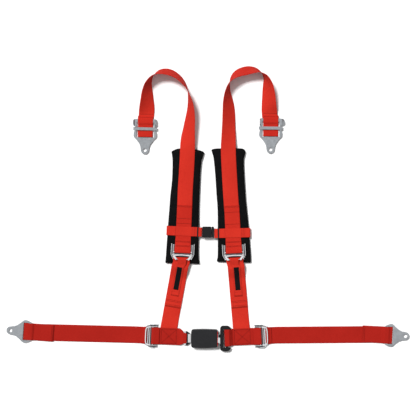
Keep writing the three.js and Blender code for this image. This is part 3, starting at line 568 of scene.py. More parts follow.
def rounded_corner(before, corner, after, reach, steps=6):
    """Points that round a corner off, no further than halfway to its neighbours."""
    back = before - corner
    ahead = after - corner
    start = corner + back.normalized() * min(reach, back.length / 2)
    end = corner + ahead.normalized() * min(reach, ahead.length / 2)
    shares = [i / steps for i in range(steps + 1)]
    return [start.lerp(corner, t).lerp(corner.lerp(end, t), t) for t in shares]


# ---------------------------------------------------------------- webbing

# A place on a strap: its middle, the ways across it and out of its face, its width as a share of the
# webbing's, how much it is pleated, and how high it domes.
Station = namedtuple("Station", "centre across face width pleat cup")


def fold_line(corners):
    """The side view of a folded strap. A corner is y, z and the reach of its rounding."""
    places = [Vector(corner[:2]) for corner in corners]
    points = [places[0]]
    for i in range(1, len(corners) - 1):
        reach = corners[i][2] if len(corners[i]) > 2 else 3
        points += rounded_corner(*places[i - 1:i + 2], reach)
    return [*points, places[-1]]


def fold(place, corners, hand=1, shift=0, shape=None):
    """Stations of a strap that folds in the side view of a place. shape gives width and shift by y.

    hand is 1 or -1, and tells which face of the strap is up.
    """
    line = fold_line(corners)
    turn = place.to_3x3()
    across = Vector((hand, 0, 0))
    stations = []
    for point, along in zip(line, directions(line)):
        face = Vector((0, *along)).cross(across)
        width, move = shape(point.x) if shape else (1.0, shift)
        centre = place @ Vector((move, *point))
        stations.append(Station(centre, turn @ across, turn @ face, width, 1 - width, 0.0))
    return stations


def leaning(route, hand):
    """Stations of a strap that runs over the ground on a curved route and leans as it goes."""
    places = curve_through([p[:3] for p in route], 5)
    leans = curve_through([(p[3], 0, 0) for p in route], 5)
    plan = [Vector((p.x, p.y, 0)) for p in places]
    stations = []
    for place, lean, along in zip(places, leans, directions(plan)):
        angle = math.radians(lean.x)
        turn = Matrix.Rotation(hand * angle, 3, along)
        across = turn @ Vector((along.y, -along.x, 0))
        face = turn @ Vector((0, 0, -1))
        lift = (WEB_WIDTH * abs(math.sin(angle)) + WEB_THICK * abs(math.cos(angle))) / 2
        centre = Vector((place.x, place.y, max(place.z, 0) + lift))
        stations.append(Station(centre, across, face, 1.0, 0.0, 0.0))
    return stations


def smooth_step(value, start, end):
    t = min(max((value - start) / (end - start), 0.0), 1.0)
    return t * t * (3 - 2 * t)


def cupped(station):
    """The shoulder webbing is drawn in at its edges, most of all on the pads, where it also domes."""
    y = station.centre.y
    on_pad = smooth_step(y, -135, -60) * (1 - smooth_step(y, 230, 330))
    drawn_in = 0.05 * smooth_step(y, -150, -110) + 0.065 * on_pad
    dome = 1.9 * smooth_step(y, -48, 10) * (1 - smooth_step(y, 150, 230))
    flat_enough = abs(station.face.z) > 0.9
    sunk = drawn_in * WEB_WIDTH / 2 * abs(station.across.z)
    return station._replace(
        centre=station.centre - Vector((0, 0, sunk)),
        width=station.width * (1 - drawn_in),
        cup=math.copysign(dome, station.face.z) if flat_enough else 0.0,
    )


def finer(stations, step):
    """The same strap with stations no further apart than step."""
    filled = [stations[0]]
    for before, after in zip(stations, stations[1:]):
        gap = (after.centre - before.centre).length
        if gap < 0.02:
            continue
        parts = max(1, math.ceil(gap / step))
        for i in range(1, parts + 1):
            t = i / parts
            mixed = Station(*(a + (b - a) * t for a, b in zip(before, after)))
            filled.append(mixed._replace(across=mixed.across.normalized(), face=mixed.face.normalized()))
    return filled


def web_section(width, thickness):
    """The outline of flat webbing: (across, height) once round, with round edges."""
    steps = 12
    reach = thickness / 2
    inner = width / 2 - reach
    upper = [(-inner + 2 * inner * i / steps, reach) for i in range(steps + 1)]
    turns = [math.radians(degrees) for degrees in (45, 90, 135)]
    right = [(inner + reach * math.sin(a), reach * math.cos(a)) for a in turns]
    lower = [(x, -z) for x, z in reversed(upper)]
    left = [(-x, -z) for x, z in right]
    return [*upper, *right, *lower, *left]


def web_strap(name, stations, material, width, thickness, step, painted_shade_face):
    """A closed strap swept along its stations. Its UV map holds the way in from the edge and along."""
    stations = finer(stations, step)
    section = web_section(width, thickness)
    points = []
    along = [0.0]
    for before, after in zip(stations, stations[1:]):
        along.append(along[-1] + (after.centre - before.centre).length)
    for station in stations:
        for x, z in section:
            ripple = 0.45 * station.pleat * math.cos(math.pi * x / 3.6) * math.copysign(1, z)
            dome = station.cup * (1 - (2 * x / width) ** 2)
            height = z + ripple + dome
            points.append(station.centre + station.across * x * station.width + station.face * height)
    count = len(section)
    strap = make_object(name, points, ring_faces(count, len(stations)), material)
    weave = strap.data.uv_layers.new(name="weave")
    for loop in strap.data.loops:
        station, place = divmod(loop.vertex_index, count)
        inwards = width / 2 - abs(section[place][0])
        # The mark goes on the face that the material paints darker, as painted shade.
        mark = SHADED_FACE_MARK if painted_shade_face and section[place][1] > 0 else 0.0
        weave.data[loop.index].uv = (inwards * MM + mark, along[station] * MM)
    return strap, along[-1]


def hairpin(run, tail):
    """Side view of webbing from its tail, round an adjuster's middle bar and out along the run."""
    y, z, radius = MIDDLE_BAR
    reach = radius + GAP + WEB_THICK / 2
    return [
        *tail,
        (y + 3, z + reach, 3),
        (y - reach, z + reach, 3),
        (y - reach, z - reach, 3),
        (y + 4, z - reach, 2),
        *run,
    ]


def front_loop(upper_end, lower_end):
    """Side view of webbing round an adjuster's front bar, from its upper end to its lower one."""
    y, z, radius = FRONT_BAR
    reach = radius + GAP + WEB_THICK / 2
    low = WEB_THICK / 2
    return [
        (upper_end, low + LAYER),
        (y - 10, low + LAYER, 3),
        (y - 1, z + reach, 3),
        (y + reach, z + reach, 3),
        (y + reach, z - reach, 3),
        (y - 3, low + 0.05, 1),
        (lower_end, low),
    ]


def bracket_loop(kind, run_end):
    """Side view of webbing under a bracket, up at its window and back over the end bar to the tail."""
    low = WEB_THICK / 2
    inside = 3.25
    over = BRACKET_TOP + GAP + WEB_THICK / 2
    bar_from, bar_to = END_BARS[kind]
    turn = WINDOW_FROM + 2.2
    return [
        (run_end, low),
        (turn, low, 1.2),
        (turn, inside, 1.2),
        (bar_from - 8, inside, 3),
        (bar_from - 2.5, over, 2.5),
        (bar_to + 2, over, 3),
        (bar_to + 7, low + LAYER, 2),
        (TAIL_ENDS[kind], low + LAYER),
    ]


# ---------------------------------------------------------------- stitching

class Seam:
    """Rows of stitches laid on a strap, made as one piece. Points are in a place's plan, in millimetres."""

    def __init__(self, name, onto, material, thread, pitch):
        self.name = name
        self.material = material
        self.thread = thread
        self.pitch = pitch
        points = [v.co / MM for v in onto.data.vertices]
        self.tree = BVHTree.FromPolygons(points, [tuple(p.vertices) for p in onto.data.polygons])
        self.points = []
        self.faces = []

    def surface(self, place, x, y):
        """The point of the strap straight under a place above everything, and the way out of it."""
        top = place @ Vector((x, y, 0))
        top.z = ABOVE_ALL
        found = self.tree.ray_cast(top, Vector((0, 0, -1)))
        return found[0], found[1]

    def row(self, place, corners):
        """Stitches along the line through the corners."""
        for (x0, y0), (x1, y1) in zip(corners, corners[1:]):
            length = math.hypot(x1 - x0, y1 - y0)
            count = max(1, round(length / self.pitch))
            for i in range(count):
                a = (i + 0.14) / count
                b = (i + 0.86) / count
                start, normal = self.surface(place, x0 + (x1 - x0) * a, y0 + (y1 - y0) * a)
                end, _ = self.surface(place, x0 + (x1 - x0) * b, y0 + (y1 - y0) * b)
                if start and end and (end - start).length < 2 * self.pitch:
                    self.stitch(start, end, normal)

    def stitch(self, start, end, normal):
        """One short arch of thread, its ends sunk into the cloth."""
        along = (end - start).normalized()
        side = along.cross(normal).normalized()
        first = len(self.points)
        sides = 6
        arch = ((0, 0.45, -0.25), (0.22, 0.95, 0.2), (0.5, 1.0, 0.38), (0.78, 0.95, 0.2), (1, 0.45, -0.25))
        for share, size, rise in arch:
            centre = start.lerp(end, share) + normal * (rise * self.thread)
            self.points += circle(centre, side, normal, self.thread * size, sides)
        self.faces += [tuple(first + k for k in face) for face in ring_faces(sides, len(arch))]

    def finish(self, body, slot):
        piece = make_object(self.name, self.points, self.faces, self.material)
        assign(piece, body, slot)
        return piece


def across(place, y, width=WEB_WIDTH, inset=3.5):
    """A row of stitches across a strap."""
    half = width / 2 - inset
    return place, [(-half, y), (half, y)]


def sewn_strap(side, part, node, body, stations, rows, material=WEBBING, width=WEB_WIDTH,
               thickness=WEB_THICK, thread=SHADED_RED_THREAD, thread_radius=0.55, pitch=2.9, step=6, painted_shade_face=False,
               slot="red_webbing"):
    """A strap with its stitches, which stands for its CAD node and rides on its body.

    A row of stitches is a place, and corners in the plan of that place.
    """
    strap, length = web_strap(f"{side}_{part}", stations, material, width, thickness, step, painted_shade_face)
    seam = Seam(f"{side}_{part.removesuffix('_webbing')}_stitches", strap, thread, thread_radius, pitch)
    for place, corners in rows:
        seam.row(place, corners)
    stitches = seam.finish(f"{side}_{body}", slot)
    assign(strap, f"{side}_{body}", slot, f"{side}_{node}")
    return strap


# ---------------------------------------------------------------- shoulder straps

# Rows of stitches on the shoulder straps, by their distance from the adjuster.
SHOULDER_ROWS = {
    "left": (139.5, 136.5, 101.5, 86.5, 33, 30.5, 20, 17.5),
    "right": (139.5, 136.5, 121.5, 85.5, 33, 30.5, 20, 17.5),
}


def shoulder_strap(side):
    adjuster = ADJUSTERS[f"{side}_shoulder"]
    bracket = BRACKETS[f"{side}_shoulder"]
    low = WEB_THICK / 2
    tail = [(142, low + LAYER), (34, low + LAYER, 12)]
    run = [(24, 3.3, 6), (40, low, 10), (124, low)]
    stations = [
        *fold(adjuster, hairpin(run, tail)),
        *leaning(LOOP_ROUTES[side], OUTWARDS[side]),
        *fold(bracket, bracket_loop("shoulder", 88), hand=-1),
    ]
    stations = [cupped(station) for station in stations]
    rows = [across(adjuster, y) for y in SHOULDER_ROWS[side]]
    rows += [across(bracket, TAIL_ENDS["shoulder"] + beyond) for beyond in (-4, 6)]
    # One face of the shoulder webbing is painted darker, as painted shade.
    sewn_strap(side, "shoulder_webbing", "shoulder_strap", "half", stations, rows, painted_shade_face=True)


# ---------------------------------------------------------------- chest straps, pull tabs, labels

def chest_run(lift):
    """Heights of what lies along a chest strap: on the pad, then down past its end."""
    low = WEB_THICK / 2 + lift
    return [(-12, PAD_TOP + low), (-20, PAD_TOP + low, 6), (-50, low, 10)]


def chest_strap(side):
    x, y, turn, length = CHEST[side]
    place = place_of(x, y, turn)
    adjuster = ADJUSTERS[f"{side}_shoulder"]
    shift = {"left": -2, "right": 1.5}[side]
    low = WEB_THICK / 2
    sewn_in = LAYER + low
    entry = -length + {"left": 24, "right": 36}[side]
    overlap_end = -140
    upper = [(overlap_end, low + LAYER), *reversed(chest_run(LAYER))]
    lower = [*chest_run(0), (entry + 14, low, 5), (entry, sewn_in, 5), (-length, sewn_in)]
    stations = [
        *fold(place, upper),
        *fold(adjuster, front_loop(-31, -31), shift=shift),
        *fold(place, lower),
    ]
    rows = [across(place, overlap_end + beyond) for beyond in (3, 7, 17, 21)]
    sewn_strap(side, "chest_webbing", "chest_strap", "half", stations, rows)


def pull_tab(side):
    x, y, turn, _ = CHEST[side]
    place = place_of(x, y, turn)
    adjuster = ADJUSTERS[f"{side}_shoulder"]
    bar_y, bar_z = -21, 10.5
    reach = 1 + GAP + TAB_THICK / 2
    lift = 2 * LAYER - (WEB_THICK - TAB_THICK) / 2 + 0.1
    low = WEB_THICK / 2 + lift
    loop = [
        (bar_y - 9, bar_z - reach - 1.6),
        (bar_y - 3, bar_z - reach, 2),
        (bar_y + reach, bar_z - reach, 1.8),
        (bar_y + reach, bar_z + reach, 1.8),
        (bar_y - 2, bar_z + reach, 2),
        (bar_y - 12, 8.2, 3),
        (bar_y - 15, 6.7),
    ]
    run = [(-14, PAD_TOP + low + 0.8), (-20, PAD_TOP + low + 0.2, 6), (-50, low, 10), (-105, low)]
    stations = [*fold(adjuster, loop, hand=-1), *fold(place, run, hand=-1)]
    half = TAB_WIDTH / 2 - 2.2
    rows = [
        (place, [(-half, -16), (-half, -102.5), (half, -102.5), (half, -16)]),
        (place, [(-half, -92), (half, -92)]),
    ]
    tab = sewn_strap(
        side, "pull_tab_webbing", "pull_tab", "shoulder_lever", stations, rows,
        width=TAB_WIDTH, thickness=TAB_THICK, thread_radius=0.34, pitch=2.8,
    )

    top = lift + TAB_THICK / 2 + GAP + LABEL_THICK / 2 + WEB_THICK / 2
    line = [(-16, PAD_TOP + top + 0.4), (-20, PAD_TOP + top + 0.2, 3), (-50, top, 10), (-86, top)]
    half = LABEL_WIDTH / 2 - 1.3
    border = [(-half, -17.5), (half, -17.5), (half, -84.5), (-half, -84.5), (-half, -17.5)]
    stations = fold(place, line, hand=-1)
    sewn_strap(
        side, "label", "pull_tab_label", "shoulder_lever", stations, [(place, border)],
        material=LABEL, width=LABEL_WIDTH, thickness=LABEL_THICK, thread=BLACK_THREAD, thread_radius=0.2,
        pitch=1.8, slot="black_label",
    )


# ---------------------------------------------------------------- sternum straps

def sternum_strap(side):
    x, y, turn, pad_inner, pad_outer = STERNUM[side]
    out = OUTWARDS[side]
    half = SMALL_THICK / 2
    edge_out = (pad_outer - x) * out + GAP + half + 1
    edge_in = (pad_inner - x) * out - GAP - half - 0.6
    link_end = (CLIP_ENDS[side] - x) * out
    over_strap = PAD_TOP + WEB_THICK + LAYER + GAP + half
    on_pad = PAD_TOP + half + 0.2
    line = [
        (link_end - 0.4, CLIP_Z),
        (edge_in + 8, CLIP_Z, 4),
        (-34, CLIP_Z, 5),
        (-28.5, over_strap, 5),
        (28.5, over_strap, 5),
        (36, on_pad, 5),
        (edge_out, on_pad, 3),
        (edge_out, half, 3),
        (edge_in, half, 3),
        (edge_in, 12.8),
    ]
    place = place_of(x, y, turn - 90 * out)
    rows = [across(place, y, SMALL_WIDTH, 2.5) for y in (-24, 26)]
    sewn_strap(
        side, "sternum_webbing", "sternum_strap", "half", fold(place, line), rows,
        width=SMALL_WIDTH, thickness=SMALL_THICK, thread_radius=0.34, pitch=2.8,
    )


# ---------------------------------------------------------------- lap straps

def outer_lap_strap(side):
    bracket = BRACKETS[f"{side}_lap"]
    adjuster = ADJUSTERS[f"{side}_lap"]
    stations = [
        *fold(bracket, list(reversed(bracket_loop("lap", 90)))),
        *fold(adjuster, list(reversed(front_loop(-34, -52)))),
    ]
    rows = [across(bracket, TAIL_ENDS["lap"] - back) for back in (3, 7)]
    sewn_strap(side, "outer_lap_webbing", "lap_strap_outer", "half", stations, rows,
               material=SHADED_LAP_WEBBING)


def inner_lap_strap(side):
    adjuster = ADJUSTERS[f"{side}_lap"]
    origin = adjuster.translation
    lean = adjuster.to_euler().z
    reach = GAP + WEB_THICK / 2
    low = WEB_THICK / 2
    top = low + 2 * LAYER
    if side == "left":
        bar = (EYE_BAR[1] - origin.x) / math.cos(lean + math.pi / 2)
        turn_at = bar + reach + 0.7
        foot = bar - (EYE_BAR[1] - EYE_BAR[0]) - 2
        under_z, over_z = ANCHOR_Z
        sandwich = (21, 80)
        box = (27, 73)
    else:
        bar = (origin.x - TONGUE_BAR[0]) / math.cos(lean - math.pi / 2)
        turn_at = bar + reach + 1.2
        foot = bar - (TONGUE_BAR[1] - TONGUE_BAR[0]) - 2.5
        under_z, over_z = TONGUE_BAR_Z
        sandwich = (22, 84)
        box = (31, 79)

    def gathered(y):
        """The left strap is gathered where it passes through the eye."""
        share = smooth_step(y, bar - 19, bar - 2) if side == "left" else 0.0
        return 1 - 0.41 * share, 3.5 * share

    run = [
        (17, 3.2, 3), (22, top, 3), (sandwich[1], top, 3),
        (foot, over_z + reach, 2), (turn_at, over_z + reach, 1),
        (turn_at, under_z - reach, 1), (foot, under_z - reach, 2),
        (sandwich[1], low, 3), (sandwich[0], low),
    ]
    tail = [(22, top + LAYER), (15, top + LAYER + 0.6, 4)]
    stations = fold(adjuster, hairpin(run, tail), shape=gathered)
    half = WEB_WIDTH / 2 - 4
    near, far = box
    rows = [
        (adjuster, [(-half, near), (half, near), (half, far), (-half, far), (-half, near)]),
        (adjuster, [(-half, near), (half, far)]),
        (adjuster, [(half, near), (-half, far)]),
    ]
    sewn_strap(side, "inner_lap_webbing", "lap_strap_inner", "half", stations, rows,
               material=SHADED_LAP_WEBBING, step=4)


# ---------------------------------------------------------------- pads

def patch_point(sides, s, t):
    """A point of the surface that fills four boundary curves."""
    outer, inner, head, foot = sides
    ruled_along = outer(t).lerp(inner(t), s)
    ruled_across = foot(s).lerp(head(s), t)
    corners = foot(0).lerp(foot(1), s).lerp(head(0).lerp(head(1), s), t)
    return ruled_along + ruled_across - corners


def measured_curve(points):
    """A curve as a function of its share of length."""
    line = [Vector((*p, 0)) for p in points]
    if len(points) > 2:
        line = curve_through(line, 12)
    lengths = [0.0]
    for a, b in zip(line, line[1:]):
        lengths.append(lengths[-1] + (b - a).length)

    def at(share):
        target = share * lengths[-1]
        for i in range(1, len(line)):
            if lengths[i] >= target - 1e-9:
                return line[i - 1].lerp(line[i], (target - lengths[i - 1]) / (lengths[i] - lengths[i - 1]))
        return line[-1]

    return at


def pad_limit(side, x, y):
    """How high the pad may puff: it is pressed down under the straps and the adjuster."""
    adjuster = ADJUSTERS[f"{side}_shoulder"]
    local = adjuster.inverted() @ Vector((x, y, PAD_TOP))
    route = [Vector((p[0], p[1], 0)) for p in LOOP_ROUTES[side][:5]]
    if y > 0:
        spans = list(zip(route, route[1:]))
        before, after = next((span for span in spans if span[1].y >= y), spans[-1])
        middle = before.lerp(after, (y - before.y) / (after.y - before.y)).x
        off = abs(x - middle)
    elif local.y > -24:
        off = abs(local.x)
    else:
        chest = place_of(*CHEST[side][:3]).inverted() @ Vector((x, y, 0))
        off = abs(chest.x)
    half = 37 if -26 < local.y < 28 else 27
    free = smooth_step(off, half, half + 11)
    strap = place_of(*STERNUM[side][:3]).inverted() @ Vector((x, y, 0))
    free *= smooth_step(abs(strap.y), SMALL_WIDTH / 2 + 1, SMALL_WIDTH / 2 + 12)
    return 13.8 + 3.0 * free


def pad_grid(side):
    """The pad as two faces that meet at its edge seam. Returns points, faces and the edge's point numbers."""
    columns, rows = 26, 76
    width, length = 105, 350
    inset = 1.6
    edge_roll = 16
    curves = PAD_SIDES[side]
    sides = [measured_curve(curves[k]) for k in ("outer", "inner", "head", "foot")]
    middle = PAD_THICK / 2
    points = []
    upper = {}
    lower = {}
    rim = []
    centre = patch_point(sides, 0.5, 0.5)
    for j in range(rows + 1):
        for i in range(columns + 1):
            flat = patch_point(sides, i / columns, j / rows)
            flat += (centre - flat).normalized() * inset
            steps_in = min(i, columns - i, j, rows - j)
            way_in = min(min(i, columns - i) * width / columns, min(j, rows - j) * length / rows)
            edge = min(way_in / edge_roll, 1.0)
            rise = (middle - 1.2) * math.sqrt(1 - (1 - edge) ** 2)
            if steps_in == 0:
                upper[i, j] = lower[i, j] = len(points)
                rim.append(len(points))
                points.append((flat.x, flat.y, middle))
                continue
            upper[i, j] = len(points)
            points.append((flat.x, flat.y, middle + rise))
            lower[i, j] = len(points)
            points.append((flat.x, flat.y, middle - rise))
    faces = []
    for j in range(rows):
        for i in range(columns):
            ring = [(i, j), (i + 1, j), (i + 1, j + 1), (i, j + 1)]
            faces.append(tuple(upper[k] for k in ring))
            faces.append(tuple(lower[k] for k in reversed(ring)))
    return points, faces, rim


def puff(pad, rim):
    """Blows the pad up with a short cloth simulation, its seam held, and applies the result."""
    frames = 14
    cap = 3.0 * MM
    start = [v.co.copy() for v in pad.data.vertices]
    group = pad.vertex_groups.new(name="seam")
    group.add(rim, 1.0, "REPLACE")
    cloth = pad.modifiers.new("cloth", "CLOTH")
    cloth.settings.quality = 4
    cloth.settings.mass = 0.3
    cloth.settings.vertex_group_mass = "seam"
    cloth.settings.use_pressure = True
    cloth.settings.uniform_pressure_force = 4
    cloth.settings.tension_stiffness = 15
    cloth.settings.bending_stiffness = 0.6
    cloth.settings.effector_weights.gravity = 0
    cloth.collision_settings.use_collision = False
    scene = bpy.context.scene
    for step in range(1, frames + 1):
        scene.frame_set(step)
    apply_modifiers(pad)
    for vertex, before in zip(pad.data.vertices, start):
        moved = vertex.co - before
        if moved.length > cap:
            vertex.co = before + moved.normalized() * cap
    scene.frame_set(1)


def settle_pad(pad, side):
    """Rests the pad on the ground, presses it under the straps and leaves a groove for the sternum strap."""
    strap = place_of(*STERNUM[side][:3]).inverted()
    for vertex in pad.data.vertices:
        x, y, z = vertex.co / MM
        crinkle = 0.35 * noise.noise(Vector((x, y, z)) / 9)
        z += crinkle if z > PAD_THICK / 2 else 0
        z = min(z, pad_limit(side, x, y))
        off = abs((strap @ Vector((x, y, 0))).y)
        floor = 1.8 * (1 - smooth_step(off, SMALL_WIDTH / 2 + 1, SMALL_WIDTH / 2 + 6))
        vertex.co.z = max(z, floor) * MM


def pad(side):
    points, faces, rim = pad_grid(side)
    piece = make_object(f"{side}_pad", points, faces, PAD_FABRIC)
    puff(piece, rim)
    settle_pad(piece, side)
    smooth = piece.modifiers.new("smooth", "SUBSURF")
    smooth.levels = 1
    apply_modifiers(piece)
    edge = [Vector(piece.data.vertices[k].co) / MM for k in rim]
    piece.data.shade_smooth()
    assign(piece, f"{side}_half", "black_pad_fabric", f"{side}_pad_cover", f"{side}_pad_foam")

    middle = sum(edge, Vector()) / len(edge)
    edge.sort(key=lambda p: math.atan2((p.x - middle.x) * 3, p.y - middle.y))
    piping = make_object(f"{side}_pad_piping", *tube_shell(edge, 1.5, closed=True), BINDING)
    assign(piping, f"{side}_half", "black_pad_fabric")


# ---------------------------------------------------------------- moulded pieces

def rounded_outline(corners, steps=6):
    """A closed outline. A corner is x, y and the reach of its rounding."""
    places = [Vector(corner[:2]) for corner in corners]
    outline = []
    for i, corner in enumerate(corners):
        after = places[(i + 1) % len(places)]
        outline += rounded_corner(places[i - 1], places[i], after, corner[2], steps)
    return [p for i, p in enumerate(outline) if (p - outline[i - 1]).length > 0.05]


def inset_outline(outline, amount):
    """The outline moved in by an amount, for a convex outline drawn anticlockwise."""
    ways = directions(outline, closed=True)
    return [point + Vector((-way.y, way.x)) * amount for point, way in zip(outline, ways)]


def pillow(name, place, outline, z0, z1, radius, material, crown=0.0):
    """An outline made solid, its upper and lower edges rounded and its top crowned a little."""
    steps = 5
    angles = [math.pi / 2 * k / steps for k in range(steps + 1)]
    rings = [(radius * (1 - math.sin(a)), z0 + radius * (1 - math.cos(a))) for a in angles]
    rings += [(radius * (1 - math.cos(a)), z1 - radius * (1 - math.sin(a))) for a in angles]
    middle = sum(outline, Vector((0, 0))) / len(outline)
    points = []
    for amount, z in rings:
        points.extend(Vector((p.x, p.y, z)) for p in inset_outline(outline, amount))
    top = inset_outline(outline, radius)
    for share, rise in ((0.75, 0.5), (0.4, 0.85), (0.12, 1.0)):
        points.extend(Vector((*(middle + (p - middle) * share), z1 + crown * rise)) for p in top)
    count = len(outline)
    return make_object(name, [place @ p for p in points], ring_faces(count, len(points) // count), material)


def cut_away(piece, place, *boxes):
    """Takes boxes out of a piece. A box is x0, x1, y0, y1, z0, z1."""
    for i, (x0, x1, y0, y1, z0, z1) in enumerate(boxes):
        corners = [(x, y, z) for z in (z0, z1) for x, y in ((x0, y0), (x1, y0), (x1, y1), (x0, y1))]
        points = [place @ Vector(corner) for corner in corners]
        cutter = make_object(f"cutter_{i}", points, ring_faces(4, 2), piece.data.materials[0], smooth=False)
        boolean = piece.modifiers.new("cut", "BOOLEAN")
        boolean.operation = "DIFFERENCE"
        boolean.object = cutter
        apply_modifiers(piece)
        bpy.data.objects.remove(cutter)
    piece.data.set_sharp_from_angle(angle=math.radians(40))


BUCKLE = {"left": -51.8, "right": 28.5, "half": 28.5, "height": 26}
BUCKLE_PLACE = place_of(0, BUCKLE_Y, 0)


def buckle_covers():
    left, right, half, height = BUCKLE.values()
    seam = height / 2 - 0.4
    corners = [
        (left + 1.5, -half + 1.2, 8), (-12, -half - 0.2, 40), (right, -half + 1.6, 5),
        (right, half - 1.6, 5), (-12, half + 0.2, 40), (left + 1.5, half - 1.2, 8), (left, 0, 30),
    ]
    outline = rounded_outline(corners)
    mouth = (right - 8, right + 5, -14, 14, 9.8, 14.2)
    button_hole = (right - 8, right + 5, -22.4, 22.4, 15.2, 22.8)
    wall = 2.2
    room = (left + wall, right - wall, -half + 2 * wall, half - 2 * wall)
    anchor_slot = (left - 5, left + 12, -16, 16, ANCHOR_Z[0] - GAP, ANCHOR_Z[1] + GAP)
    lower = pillow("buckle_lower_shell", BUCKLE_PLACE, outline, 0, seam, 2.2, HOUSING)
    cut_away(lower, BUCKLE_PLACE, (*room, 2.5, seam + 1), anchor_slot, mouth)
    assign(lower, "left_half", "buckle_plastic", "buckle_bottom_cover")
    crown = 1.2
    upper = pillow(
        "buckle_upper_shell", BUCKLE_PLACE, outline, seam + GAP, height - crown, 4.2, HOUSING, crown)
    cut_away(upper, BUCKLE_PLACE, (*room, seam, height - 4), mouth, button_hole)
    assign(upper, "left_half", "buckle_plastic", "buckle_top_cover")


def tongue_cover():
    half = 38.75
    corners = [(36.5, -half, 11), (69, -half, 14), (69, half, 14), (36.5, half, 11)]
    outline = rounded_outline(corners, 8)
    piece = pillow("tongue_overmould", BUCKLE_PLACE, outline, 7.4, 16.7, 3.4, BLACK_PLASTIC)
    bar_from, bar_to = TONGUE_BAR
    low, high = TONGUE_BAR_Z
    cut_away(
        piece, BUCKLE_PLACE,
        (46.6, bar_from, -28, 28, 0, 30),
        (32, 58.8, -34, 34, 10.5, 13.6),
        (bar_to, 80, -28, 28, 0, 30),
        (bar_from - 1, 80, -28, 28, high, 30),
        (bar_from - 1, 80, -28, 28, 0, low),
    )
    assign(piece, "right_half", "black_plastic", "tongue_cover")
    nub_outline = rounded_outline([(31.6, 2.5, 1.5), (40, 2.5, 1.5), (40, 13, 1.5), (31.6, 13, 4)])
    nub = pillow("tongue_nub", BUCKLE_PLACE, nub_outline, 8.6, 15.2, 1.2, BLACK_PLASTIC)
    assign(nub, "right_half", "black_plastic")


def release_button():
    right = BUCKLE["right"]
    corners = [(right - 6.5, -22, 1.5), (right + 1, -22, 3), (right + 1, 22, 3), (right - 6.5, 22, 1.5)]
    outline = rounded_outline(corners)
    piece = pillow("release_button_cap", BUCKLE_PLACE, outline, 15.5, 22.5, 1.4, BUTTON)
    assign(piece, "button", "red_button")


def buckle_anchor():
    """The plate that holds the left lap strap: a bar and a stem, joined by two arms cased in black."""
    shells = Shells(BUCKLE_PLACE)
    low, high = ANCHOR_Z
    bar_from, bar_to = EYE_BAR
    bar_middle = (bar_from + bar_to) / 2
    lining = (low - 0.5, high + 0.5)
    stem = [(-61.2, -15.5), (-56, -12.5), (-45, -12.5), (-45, 12.5), (-56, 12.5), (-61.2, 15.5)]
    shells.band([(bar_middle, -21), (bar_middle, 21)], bar_to - bar_from, low, high)
    shells.slab(stem, low, high)
    for hand in (-1, 1):
        arm = [(-57, hand * 13.5), (-62, hand * 17.6), (-67, hand * 20)]
        inside = [(-61.6, hand * 12.5), (-63.4, hand * 15.6), (-66.4, hand * 17.4)]
        shells.band(arm, 4.6, low, high, material=1)
        shells.band(inside, 2.4, *lining, material=1)
    shells.band([(-62.2, -13), (-62.2, 13)], 3, *lining, material=1)
    piece = shells.finish("buckle_anchor_plate", STEEL, BLACK_PLASTIC)
    assign(piece, "left_half", "bright_steel", "buckle_anchor")


def adjuster_frame(side, kind):
    """Two pressed channels for sides, a plate under the webbing, and its front and middle bars."""
    shells = Shells(ADJUSTERS[f"{side}_{kind}"])
    rail_end = {"shoulder": 24, "lap": 17}[kind]
    plate_end = rail_end - 1
    # The plate and the webs between the channel walls take the second material, darkened as painted shade.
    shells.slab([(-27.4, -13), (27.4, -13), (27.4, plate_end), (-27.4, plate_end)], 0, 2, material=1)
    for hand in (-1, 1):
        outer = 34.2 * hand
        inner = 28.2 * hand
        outer_wall = [
            (outer, rail_end + 1.5, 2.4), (outer, rail_end - 5, 5), (outer, 4, 11), (outer, -7, 11),
            (30.6 * hand, -14.5, 8), (29.6 * hand, -17, 6.4),
        ]
        inner_wall = [
            (inner, rail_end - 1, 3), (inner, 4, 10.4), (inner, -12, 10.4), (inner, -16, 6.4),
            (inner, -21.5, 6.4),
        ]
        web = [(29 * hand, -12), (33.4 * hand, -7), (33.4 * hand, rail_end), (29 * hand, rail_end - 1)]
        shells.band(outer_wall, 1.5, 0)
        shells.band(inner_wall, 1.5, 0)
        shells.slab(web, 0, 1.8, material=1)
    for y, z, radius in (FRONT_BAR, MIDDLE_BAR):
        shells.bar(28, y, z, radius)
    piece = shells.finish(f"{side}_{kind}_adjuster_channels", CHROME, RECESS_SHADE_CHROME)
    assign(piece, f"{side}_half", "chrome_steel", f"{side}_{kind}_adjuster_frame")


def adjuster_lever(side, kind):
    """A lever on the cross pin: an arched lip with two lugs at the shoulders, a finger loop at the lap."""
    shells = Shells(ADJUSTERS[f"{side}_{kind}"])
    for hand in (-1, 1):
        shells.band([(25.5 * hand, -4.5), (25.5 * hand, -11.5)], 2.6, 3.8, 10.4)
    if kind == "shoulder":
        lip = [(-26.8, -12.6, 0), (-20, -9.8, 0), (0, -8, 0), (20, -9.8, 0), (26.8, -12.6, 0)]
        shells.band([p.xy for p in curve_through(lip, 6)], 3.4, 9.4, 12.2)
        for hand in (-1, 1):
            shells.band([(26.4 * hand, -11), (21.6 * hand, -17), (17.4 * hand, -22.4)], 6, 9.5, 11.9)
        shells.bar(15.5, -21, 10.5, 1)
    else:
        loop = [
            (-26.2, -6, 0), (-26.2, -12, 0), (-23.6, -17.4, 0), (-17, -19.8, 0), (0, -20.2, 0),
            (17, -19.8, 0), (23.6, -17.4, 0), (26.2, -12, 0), (26.2, -6, 0),
        ]
        shells.band([p.xy for p in curve_through(loop, 5)], 3.2, 9, 11.6)
        shells.band([(-24.2, -12.8), (24.2, -12.8)], 2.4, 9.2, 11.2)
    piece = shells.finish(f"{side}_{kind}_lever", CHROME, edge=0.45)
    assign(piece, f"{side}_{kind}_lever", "chrome_steel", f"{side}_{kind}_adjuster_lever")


